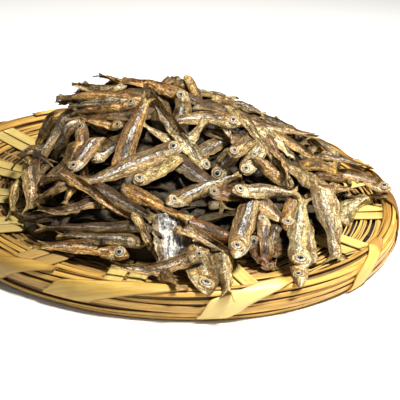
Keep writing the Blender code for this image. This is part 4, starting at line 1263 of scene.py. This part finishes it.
def fish_material(name, shine):
    """Dried skin with its marks, glossy on the silver line and the film."""
    s = Skin(name)
    base = s.stains(s.back_and_belly(s.worn_and_lit()))
    film = s.film()
    # The film's own silver, its brightest flecks painted glints
    base = s.mix(film * 0.80, base, s.mix(s.band(s.speckle, 0.40, 0.58), *FOILS_AND_GLINTS))
    base, line = s.silver_line(base)
    s.set("Base Color", s.depths(s.tail_and_painted_edges(s.head(base))))
    rough = s.band(s.speckle, 0.35, 0.65, 0.24, 0.52) - line * shine
    s.set("Roughness", rough.clamped())
    s.set("Metallic", s.greater(line, film * 0.6) * (s.bare * -0.35 + 0.45))
    s.set("Specular IOR Level", 0.50)
    s.set("Specular Tint", SKIN_GLOSS_TINT)
    stretched = s.node("ShaderNodeVectorMath", 0, {0: s.grain, 1: (0.8, 1.0, 1.0)}, operation="MULTIPLY")
    scales = s.node("ShaderNodeTexVoronoi", "Distance", {"Vector": stretched, "Scale": 900.0})
    s.bump(s.streak + s.speckle * 0.55 + scales * 0.12, 0.0007)
    return s.material


def eye_material():
    """A dark pupil in a grey and silver iris, then folds of pale skin round the socket."""
    s = Shader("fish_eye")
    out = s.parts("eye")[0]
    bright = s.parts("bright")[0]
    around = s.noise(s.attribute("eye"), 4.0, 3.0)
    iris = s.mix(s.band(around, 0.40, 0.55), IRIS_DARK, s.mix(bright, *IRIS_LIGHTS))
    skin = s.mix(bright, *LID_SKINS)
    skin = s.mix(s.band(around, 0.60, 0.42), skin, s.tinted(skin, LID_FOLD_TINT))
    base = s.mix(s.band(out, 0.30, 0.37), PUPIL, iris)
    base = s.mix(s.band(out, 0.52, 0.58), base, EYE_RIM)
    base = s.mix(s.band(out, 0.64, 0.72), base, skin)
    base = s.mix(s.band(out, 0.90, 1.04), base, s.tinted(skin, LID_EDGE_TINT))
    s.set("Base Color", base)
    s.set("Roughness", s.band(out, 0.3, 0.7, 0.12, 0.42))
    s.set("Specular IOR Level", 0.6)
    s.bump(around, 0.0004)
    return s.material


def splint_material(name, dull, bright, specked):
    """Split reed: fine grain along the strip, tone from piece to piece, darker edges, specks and scuffs."""
    s = Shader(name)
    grain = s.attribute("grain")
    level, edge, age = s.parts("tone")
    fibre = s.noise(grain, 2200.0, 3.0, 0.6, 0.0, (0.05, 1.0, 1.0))
    streak = s.noise(grain, 520.0, 3.0, 0.6, 0.0, (0.07, 1.0, 0.4))
    patch = s.noise(grain, 70.0, 3.0, 0.55)
    base = s.mix(s.band(streak, 0.30, 0.70), dull, bright)
    base = s.mix(s.band(patch, 0.42, 0.72) * 0.55, base, s.tinted(base, SUNNED_TINT))
    base = s.mix(s.band(patch, 0.46, 0.25) * 0.65, base, s.tinted(base, DULLED_TINT))
    base = s.mix(s.band(fibre, 0.45, 0.30) * 0.35, base, s.tinted(base, FIBRE_TINT))
    specks = s.band(s.noise(grain, 900.0, 2.0, 0.5, 0.0, (0.35, 1.0, 1.0)), 0.70, 0.78)
    base = s.mix(specks * (0.6 * specked), base, SPECK)
    base = s.mix(s.band(edge, 0.84, 1.0) * 0.75, base, s.tinted(base, SPLINT_EDGE_TINT))
    base = s.mix(s.greater(age, 0.0) * s.band(patch, 0.25, 0.55, 0.6, 1.0), base, AGED_SPLINT)
    base = s.mix(s.greater(age * -1.0, 0.0), base, BLEACHED_SPLINT)
    s.set("Base Color", s.shaded(base, level))
    s.set("Roughness", s.band(fibre, 0.3, 0.7, 0.36, 0.58))
    s.set("Specular IOR Level", 0.5)
    s.bump(fibre * 0.5 + streak, 0.00028, 0.8)
    return s.material


def gap_shade_material():
    """Near-black, as painted shade in the gaps between the fish."""
    s = Shader("heap_gap_shade")
    patch = s.noise(s.attribute("grain"), 160.0, 4.0)
    s.set("Base Color", s.mix(s.band(patch, 0.35, 0.65), *HEAP_GAP_SHADES))
    s.set("Roughness", s.band(patch, 0.3, 0.7, 0.6, 0.85))
    s.bump(patch, 0.001)
    return s.material


# The tray's pieces

FLAT_SECTION = (
    (-1.0, 0.0), (-0.94, 0.72), (-0.60, 1.0), (0.0, 1.06), (0.60, 1.0), (0.94, 0.72),
    (1.0, 0.0), (0.94, -0.72), (0.60, -1.0), (0.0, -1.0), (-0.60, -1.0), (-0.94, -0.72),
)
STRAND_SECTION = tuple((math.cos(i * math.tau / 6), math.sin(i * math.tau / 6)) for i in range(6))
UPWARDS = (0.0, 0.0, 1.0)


def add_splint(
    pile, points, normals, half_width, half_thickness, section, shade, draws, closed=False, aged=0.0
):
    """A long strip swept along its points; the normals face out of its broad side."""
    section = np.array(section)
    count, sides = len(points), len(section)
    if closed:
        along = unit(np.roll(points, -1, axis=0) - np.roll(points, 1, axis=0))
    else:
        along = unit(np.gradient(points, axis=0))
    across = unit(np.cross(normals, along))
    up = np.cross(along, across)
    half_width = np.broadcast_to(half_width, count)[:, None, None]
    half_thickness = np.broadcast_to(half_thickness, count)[:, None, None]
    ring = across[:, None, :] * section[None, :, :1] * half_width
    ring = ring + up[:, None, :] * section[None, :, 1:] * half_thickness
    made = (points[:, None, :] + ring).reshape(-1, 3)
    seed = draws.uniform(0.0, 50.0)
    offset = (section[None, :, 0] * half_width[:, :, 0]).ravel()
    lift = (section[None, :, 1] * half_thickness[:, :, 0]).ravel()
    grain = np.stack([distance_rows(points, sides) + seed, offset + 0.3 * seed, lift], axis=1)
    level = np.repeat(np.broadcast_to(shade * (1.0 + draws.normal(0.0, 0.05)), count), sides)
    share = np.tile(np.abs(section[:, 0]), count)
    tone = np.stack([level, share, np.repeat(np.broadcast_to(aged, count), sides)], axis=1)
    quads = tube_faces(count, sides, closed)
    if closed:
        pile.add(made, quads, grain=grain, tone=tone)
        return
    first_quads, first_triangles = cap_faces(0, sides, False)
    last_quads, last_triangles = cap_faces((count - 1) * sides, sides, True)
    quads = np.concatenate([quads, first_quads, last_quads])
    triangles = np.concatenate([first_triangles, last_triangles])
    pile.add(made, quads[:, ::-1], triangles[:, ::-1], grain=grain, tone=tone)


def distance_rows(points, sides):
    """How far along the strip each point of each ring lies."""
    steps = np.linalg.norm(np.diff(points, axis=0, append=points[-1:]), axis=1)
    return np.repeat(np.cumsum(steps), sides)


def polar(radius, angle, height):
    """Points at this radius, angle and height."""
    radius, angle, height = np.broadcast_arrays(radius, angle, height)
    return np.stack([radius * np.cos(angle), radius * np.sin(angle), height], axis=-1)


def full_turn(steps):
    """Angles all the way round."""
    return np.arange(steps) * math.tau / steps


def varied(shades, draws):
    """A shade at this level, or up to its spread lighter or darker."""
    level, spread = shades
    return level + spread * draws.uniform(-1, 1)


def painted_lit_share(angle):
    """Painted shade: the tray's left side is darker, where the light falls off."""
    return 1.0 - SHADED_SIDE_DEPTH * np.maximum(0.0, np.cos(angle - SHADED_SIDE_ANGLE))


def open_share(angle):
    """1 where the floor's strands lie apart over a dark gap, falling off at either end."""
    degrees = np.degrees(np.mod(angle + math.pi, math.tau) - math.pi)
    first, last = OPEN_WEFTS_SPAN
    return ease(first - 3.0, first + 1.0, degrees) * ease(last + 3.0, last - 1.0, degrees)


def shaded_old_rim_share(angle):
    """1 at the rim's far right, falling off to either side: there it is brown with age and darker as
    painted shade.
    """
    away = np.abs(np.mod(angle - SHADED_OLD_RIM_ANGLE + math.pi, math.tau) - math.pi)
    return ease(SHADED_OLD_RIM_HALF_SPAN, SHADED_OLD_RIM_HALF_SPAN * 0.4, away)


def add_strands(pile, draws):
    """Round strands that pass over and under the stakes, thinner and apart where the floor is open."""
    angle = full_turn(192)
    normals = np.tile(UPWARDS, (len(angle), 1))
    apart = open_share(angle)
    for k, radius in enumerate(np.arange(WEAVE_INNER_RADIUS, WEAVE_OUTER_RADIUS, STRAND_PITCH)):
        wobble = 0.00022 * np.sin(3 * angle + 2.1 * k) + 0.00012 * np.sin(11 * angle + k)
        wave = STRAND_WAVE * np.cos(angle * STAKES / 2 + math.pi * k)
        points = polar(radius + wobble, angle, floor_top(radius) - FLOOR_THICKNESS / 2 + wave)
        shade = varied(STRAND_SHADES, draws) * painted_lit_share(angle)
        half_width, half_thickness = STRAND_HALF_SIZE
        if OPEN_WEFTS_REACH[0] < radius < OPEN_WEFTS_REACH[1]:
            points[:, 2] += OPEN_WEFTS_LIFT * apart
            half_width = half_width - OPEN_WEFTS_THINNING * apart
            shade = shade * (1.0 + OPEN_WEFTS_LIGHTENING * apart)
        add_splint(
            pile, points, normals, half_width, half_thickness, STRAND_SECTION, shade, draws,
            closed=True, aged=-OPEN_WEFTS_BLEACHING * apart,
        )


def add_stakes(pile, draws):
    """The radial stakes between the strands."""
    radius = np.linspace(WEAVE_INNER_RADIUS - 0.002, WEAVE_OUTER_RADIUS, 24)
    normals = np.tile(UPWARDS, (len(radius), 1))
    for k in range(STAKES):
        angle = (k + 0.5) * math.tau / STAKES
        points = polar(radius, angle, floor_top(radius) - FLOOR_THICKNESS / 2)
        # Where the strands lie apart, the stakes under them are darkened as painted shade in the gaps
        shade = STAKE_SHADE * (1.0 - OPEN_STAKE_PAINTED_SHADE * open_share(angle))
        add_splint(pile, points, normals, *STAKE_HALF_SIZE, STRAND_SECTION, shade, draws)


def add_painted_shade_sheet(pile, draws):
    """A near-black sheet under the strands where they lie apart: painted shade in the gaps."""
    angle = full_turn(96)
    radius = sum(OPEN_WEFTS_REACH) / 2
    points = polar(radius, angle, floor_top(radius) - SHADE_SHEET_DEPTH)
    normals = unit(polar(-0.155, angle, np.ones(96)))
    half_width = np.ptp(OPEN_WEFTS_REACH) / 2
    add_splint(
        pile, points, normals, half_width, SHADE_SHEET_HALF_THICKNESS, FLAT_SECTION, SHADE_SHEET_LEVEL, draws,
        closed=True,
    )


def make_weave(dark, draws):
    """The floor's weave."""
    pile = Pile()
    add_strands(pile, draws)
    add_stakes(pile, draws)
    add_painted_shade_sheet(pile, draws)
    weave = pile.make("floor_weave", dark)
    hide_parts("woven_floor")
    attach(weave, "root")


def arm_angle(index):
    """The direction of an arm and of the ribbon at its end."""
    nudge = ARM_NUDGE if index == NUDGED_ARM else 0.0
    return FIRST_ARM_ANGLE + index * math.tau / ARMS + nudge


def strip_line(index, along, aside):
    """Points on an arm, clear of the floor. One arm is swung aside."""
    angle = arm_angle(index)
    swing = ARM_SWING if index == SWUNG_ARM else 0.0
    out = along - SWING_RADIUS
    forward = SWING_RADIUS + out * math.cos(swing) - aside * math.sin(swing)
    sideways = out * math.sin(swing) + aside * math.cos(swing)
    x = forward * math.cos(angle) - sideways * math.sin(angle)
    y = forward * math.sin(angle) + sideways * math.cos(angle)
    return np.stack([x, y, floor_top(np.hypot(x, y)) + STRIP_GAP + STRIP_HALF_THICKNESS], axis=-1)


def make_arms(pale, draws):
    """The arms' pairs of flat strips, each a little askew and wavy."""
    pile = Pile()
    steps = 16
    normals = np.tile(UPWARDS, (steps, 1))
    for index in SHOWN_ARMS:
        reach = SWUNG_ARM_REACH if index == SWUNG_ARM else ARM_REACH
        shade = painted_lit_share(arm_angle(index))
        aged = OLD_ARM_AGE if index == OLD_ARM else 0.0
        for side in (-1, 1):
            lean = draws.normal(0.0, STRIP_LEAN) * np.linspace(-1, 1, steps)
            points = strip_line(index, np.linspace(*reach, steps), side * STRIP_SPACING / 2 + lean)
            points[:, 2] += STRIP_WAVE * np.sin(np.linspace(0, 5, steps) + draws.uniform(0, 6))
            width = STRIP_WIDTH / 2 * draws.uniform(*STRIP_WIDTH_SHARES)
            add_splint(
                pile, points, normals, width, STRIP_HALF_THICKNESS, FLAT_SECTION, shade, draws, aged=aged
            )
    arms = pile.make("arm_strips", pale)
    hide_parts(*[f"arm_{i + 1:02d}_{letter}" for i in SHOWN_ARMS for letter in "ab"])
    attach(arms, "root")


def rim_place(section, angle, clearance):
    """Points outside the bound rim, and the way they face: section runs from under it round to inside."""
    out = np.sign(np.cos(section)) * np.abs(np.cos(section)) ** RIM_SECTION_POWER
    up = np.sign(np.sin(section)) * np.abs(np.sin(section)) ** RIM_SECTION_POWER
    radius = WALL_CENTRE_RADIUS + (WALL_HALF_WIDTH + clearance) * out
    height = WALL_CENTRE_HEIGHT + (WALL_HALF_HEIGHT + clearance) * up
    points = polar(radius, angle, np.maximum(height, RIM_LEAST_HEIGHT))
    facing_out = np.cos(section) / WALL_HALF_WIDTH
    facing_up = np.sin(section) / WALL_HALF_HEIGHT
    return points, unit(polar(facing_out, angle, facing_up))


def make_rim_core(dark):
    """The dark hoop inside the bundle of splints."""
    core = Pile()
    angle = full_turn(200)
    section = np.linspace(0, math.tau, 14, endpoint=False)
    half_width, half_height = RIM_CORE_HALF_SIZE
    radius = WALL_CENTRE_RADIUS + half_width * np.cos(section)
    height = WALL_CENTRE_HEIGHT + half_height * np.sin(section)
    points = polar(radius[None, :], angle[:, None], height[None, :]).reshape(-1, 3)
    distance = np.repeat(angle * WALL_CENTRE_RADIUS, len(section))
    grain = np.stack([distance, np.tile(section * 0.004, len(angle)), np.zeros(len(points))], axis=1)
    quads = tube_faces(len(angle), len(section), closed=True)[:, ::-1]
    core.add(points, quads, grain=grain, tone=np.array((RIM_CORE_SHADE, 0.0, 0.0)))
    hoop = core.make("rim_core", dark)
    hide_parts("wall_hoop_2")
    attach(hoop, "root")


def add_wall_splints(pile, angle, draws):
    """Long splints over the wall's section, from under it round to inside, that drift over each other."""
    fine = np.linspace(*WALL_SPLINT_SPAN, 400)
    run = run_along(rim_place(fine, 0.0, 0.0)[0])
    pitch = run[-1] / WALL_SPLINTS
    shaded_old_share = shaded_old_rim_share(angle)
    for k in range(WALL_SPLINTS):
        drift = 0.34 * np.sin(2 * angle + 2.1 * k) + 0.26 * np.sin(5 * angle + 1.3 * k * k)
        section = np.interp(np.clip((k + 0.5 + drift) * pitch, 0.0, run[-1]), run, fine)
        clearance = -0.0002 + 0.0006 * np.sin(3 * angle + 2.4 * k) + 0.0003 * (k % 2)
        points, normals = rim_place(section, angle, clearance)
        width = pitch / 2 * draws.uniform(*WALL_SPLINT_WIDTH_SHARES) * (1.0 + 0.10 * np.sin(4 * angle + k))
        # Darker on the tray's left side and at the far right: painted shade
        shade = varied(WALL_SPLINT_SHADES, draws) * painted_lit_share(angle) * (1.0 - OLD_RIM_PAINTED_SHADE * shaded_old_share)
        add_splint(
            pile, points, normals, width, WALL_SPLINT_HALF_THICKNESS, FLAT_SECTION, shade, draws,
            closed=True, aged=OLD_WALL_AGE * shaded_old_share,
        )


def add_edge_splints(pile, angle, draws):
    """Flat splints at the floor's edge, inside the wall."""
    half_width, half_thickness = EDGE_SPLINT_HALF_SIZE
    normals = unit(polar(np.full(len(angle), -0.12), angle, np.ones(len(angle))))
    for k, radius in enumerate(np.linspace(*EDGE_SPLINT_RADII, EDGE_SPLINTS)):
        drift = 0.0011 * np.sin(3 * angle + 2.2 * k) + 0.0007 * np.sin(7 * angle + 1.1 * k)
        points = polar(radius + drift, angle, floor_top(radius + drift) - 0.00015 + 0.00012 * (k % 2))
        shade = varied(EDGE_SPLINT_SHADES, draws) * painted_lit_share(angle)
        width = half_width * draws.uniform(*EDGE_SPLINT_WIDTH_SHARES) * (1.0 - 0.6 * open_share(angle))
        add_splint(
            pile, points, normals, width, half_thickness, FLAT_SECTION, shade, draws,
            closed=True, aged=OLD_EDGE_AGE * shaded_old_rim_share(angle),
        )


def make_rim(gold, dark, draws):
    """The bundle of long splints bound round the floor's edge, over a dark hoop."""
    make_rim_core(dark)
    pile = Pile()
    add_wall_splints(pile, full_turn(260), draws)
    add_edge_splints(pile, full_turn(260), draws)
    rim = pile.make("rim_splints", gold)
    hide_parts("wall_hoop_1", "wall_hoop_3", "crest_hoop")
    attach(rim, "root")


def ribbon_surface(index, share, across):
    """A ribbon's rows of points, its upper side and then its lower side backwards, and their angles."""
    course = FRONT_RIBBON_COURSES.get(index, RIBBON_COURSE)
    lead, sweep, first = (math.radians(value) for value in course)
    section = first + (RIBBON_END_ANGLE - first) * share
    angle = arm_angle(index) - lead + sweep * share
    width = RIBBON_WIDTH / 2 / RIM_SECTION_RADIUS * (1.0 + 0.05 * np.sin(share * 9 + index))
    width = width * (0.1 + 0.9 * ease(0.0, 0.13, share))
    top, low = [], []
    for place in across:
        turned = np.clip(section + place * width, first, RIBBON_END_ANGLE)
        points, normals = rim_place(turned, angle, RIBBON_CLEARANCE)
        top.append(points + normals * RIBBON_HALF_THICKNESS)
        low.append(points - normals * RIBBON_HALF_THICKNESS)
    return np.stack(top + low[::-1], axis=1), angle


def ribbon_age(index, share):
    """How brown a ribbon is along its length; below zero it is bleached."""
    aged = ease(0.66, 0.80, share) * 0.9 if index == SWUNG_ARM else ease(0.80, 0.97, share) * 0.7
    if index == OLD_ARM:
        aged = np.maximum(aged, 0.35)
    if index == SHADED_OLD_RIBBON:
        aged = np.full(len(share), 0.95)
    bleached = 0.7 if index == NUDGED_ARM else 0.0
    return aged - bleached * (1.0 - ease(0.8, 0.9, share))


def strap_cap(first, sides):
    """A cap over a flat strap's end, whose upper row of points is followed by its lower row backwards."""
    quads = [(i, i + 1, sides - i - 2, sides - i - 1) for i in range(sides // 2 - 1)]
    return np.array(quads) + first


def make_ribbons(pale, draws):
    """The ribbons that climb the wall and fold over the arms' ends."""
    pile = Pile()
    share = np.linspace(0.0, 1.0, 34)
    across = np.linspace(-1.0, 1.0, 9)
    for index in SHOWN_ARMS:
        points, angle = ribbon_surface(index, share, across)
        count, sides = points.shape[:2]
        seed = draws.uniform(0.0, 50.0)
        distance = distance_rows(points[:, 4], sides)
        offset = np.tile(np.concatenate([across, across[::-1]]), count)
        level = np.repeat(painted_lit_share(angle) * (1.0 + draws.normal(0.0, 0.04)), sides)
        # The far-right ribbon is browned with age and darker as painted shade
        if index == SHADED_OLD_RIBBON:
            level = level * 0.6
        grain = np.stack([distance + seed, offset * RIBBON_WIDTH / 2, np.full(len(offset), seed)], axis=1)
        tone = np.stack([level, np.abs(offset), np.repeat(ribbon_age(index, share), sides)], axis=1)
        last_cap = strap_cap((count - 1) * sides, sides)[:, ::-1]
        quads = np.concatenate([tube_faces(count, sides), strap_cap(0, sides), last_cap])
        pile.add(points.reshape(-1, 3), quads, grain=grain, tone=tone)
    ribbons = pile.make("binding_ribbons", pale)
    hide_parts(*[f"ribbon_{i + 1:02d}" for i in SHOWN_ARMS])
    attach(ribbons, "root")


# The heap's pieces


def core_ring(share, angle):
    """The plan points of one ring of the core, and their distance from the middle."""
    radius = share * CORE_REACH * outline_radius(angle)
    return radius * np.cos(angle), radius * np.sin(angle), radius


def make_shade_core():
    """A near-black lumpy mound a little below the fish, closed underneath: painted shade in the gaps
    between them.
    """
    angle = full_turn(96)
    upper_rings, lower_rings = 30, 8
    rows = []
    for i in range(upper_rings + 1):
        x, y, radius = core_ring((i / upper_rings) ** 0.85, angle)
        lump = CORE_LUMP * np.sin(x * 310 + 2.0 * np.sin(y * 190)) * np.sin(y * 270 + x * 90)
        high = np.maximum(heap_top(x, y) - CORE_DEPTH + lump, tray_top(radius) + CORE_OVER_TRAY)
        rows.append(np.stack([x, y, high], axis=1))
    for i in range(lower_rings, -1, -1):
        x, y, radius = core_ring(i / lower_rings, angle)
        rows.append(np.stack([x, y, tray_top(radius) + CORE_UNDERSIDE_GAP], axis=1))
    rows[0] += polar(1e-5, angle, 0.0)
    rows[-1] += polar(1e-5, angle, 0.0)
    points = np.concatenate(rows)
    pile = Pile()
    pile.add(points, tube_faces(len(rows), len(angle)), grain=points.copy())
    return pile.make("heap_gap_shade", gap_shade_material())


def make_heap(draws):
    """Fills the heap, lays the fish that show over it, and gathers each kind into one piece."""
    piles = {kind: Pile() for kind in SKIN_SHINE}
    eyes = Pile()
    field = start_field()
    lay_filling(field, piles, eyes, draws, BASE_FISH, 0, True)
    lay_filling(field, piles, eyes, draws, BACK_FISH, BACK_FISH_TURN, False)
    lay_shown(field, piles, eyes)
    made = [make_shade_core()]
    for kind, shine in SKIN_SHINE.items():
        made.append(piles[kind].make(kind, fish_material(kind.replace("fish", "skin"), shine)))
    made.append(eyes.make("fish_eyes", eye_material()))
    for piece in made:
        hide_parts("heap")
        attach(piece, "root")


# Stage


def link(name, data):
    """An object in the scene for this data."""
    made = bpy.data.objects.new(name, data)
    bpy.context.scene.collection.objects.link(made)
    return made


def placed(place, right, up, back):
    """The matrix of a thing that looks away from its back."""
    return Matrix.Translation(place) @ Matrix((right, up, back)).transposed().to_4x4()


def make_floor():
    """A plain pale floor."""
    half = STAGE_HALF_SIDE
    mesh = bpy.data.meshes.new("stage_floor")
    corners = [(-half, -half, 0), (half, -half, 0), (half, half, 0), (-half, half, 0)]
    mesh.from_pydata(corners, [], [(0, 1, 2, 3)])
    floor = link("stage_floor", mesh)
    s = Shader("stage_floor")
    s.set("Base Color", STAGE_WHITE)
    s.set("Roughness", 0.8)
    mesh.materials.append(s.material)


def make_camera():
    """The camera at the photograph's angle."""
    lens = bpy.data.cameras.new("camera")
    lens.lens = LENS
    lens.sensor_width = SENSOR
    lens.clip_start = 0.01
    camera = link("camera", lens)
    right, up, forward = camera_axes()
    camera.matrix_world = placed(CAMERA_PLACE, right, up, -forward)
    bpy.context.scene.camera = camera


def add_light(name, place, size, power, tint):
    """A square lamp that faces the middle of the tray."""
    light = bpy.data.lights.new(name, "AREA")
    light.size = size
    light.energy = power
    light.color = tint
    back = unit(np.array(place))
    side = unit(np.cross(UPWARDS, back))
    link(name, light).matrix_world = placed(np.array(place), side, np.cross(back, side), back)


def make_light():
    """Soft light from above, a weak fill from the front and a faint white world."""
    world = bpy.data.worlds.new("soft_world")
    world.use_nodes = True
    background = world.node_tree.nodes["Background"]
    background.inputs[0].default_value = (1.0, 1.0, 1.0, 1.0)
    background.inputs[1].default_value = WORLD_LIGHT
    bpy.context.scene.world = world
    add_light("key", *KEY_LIGHT)
    add_light("fill", *FILL_LIGHT)
    bpy.context.scene.view_settings.view_transform = "Standard"


def main():
    gold, dark, pale, ribbon = [splint_material(name, *looks) for name, looks in SPLINTS.items()]
    make_weave(dark, np.random.default_rng(SEED))
    make_arms(pale, np.random.default_rng(SEED + 1))
    make_rim(gold, dark, np.random.default_rng(SEED + 2))
    make_ribbons(ribbon, np.random.default_rng(SEED + 3))
    make_heap(np.random.default_rng(SEED + 4))
    make_floor()
    make_camera()
    make_light()


main()
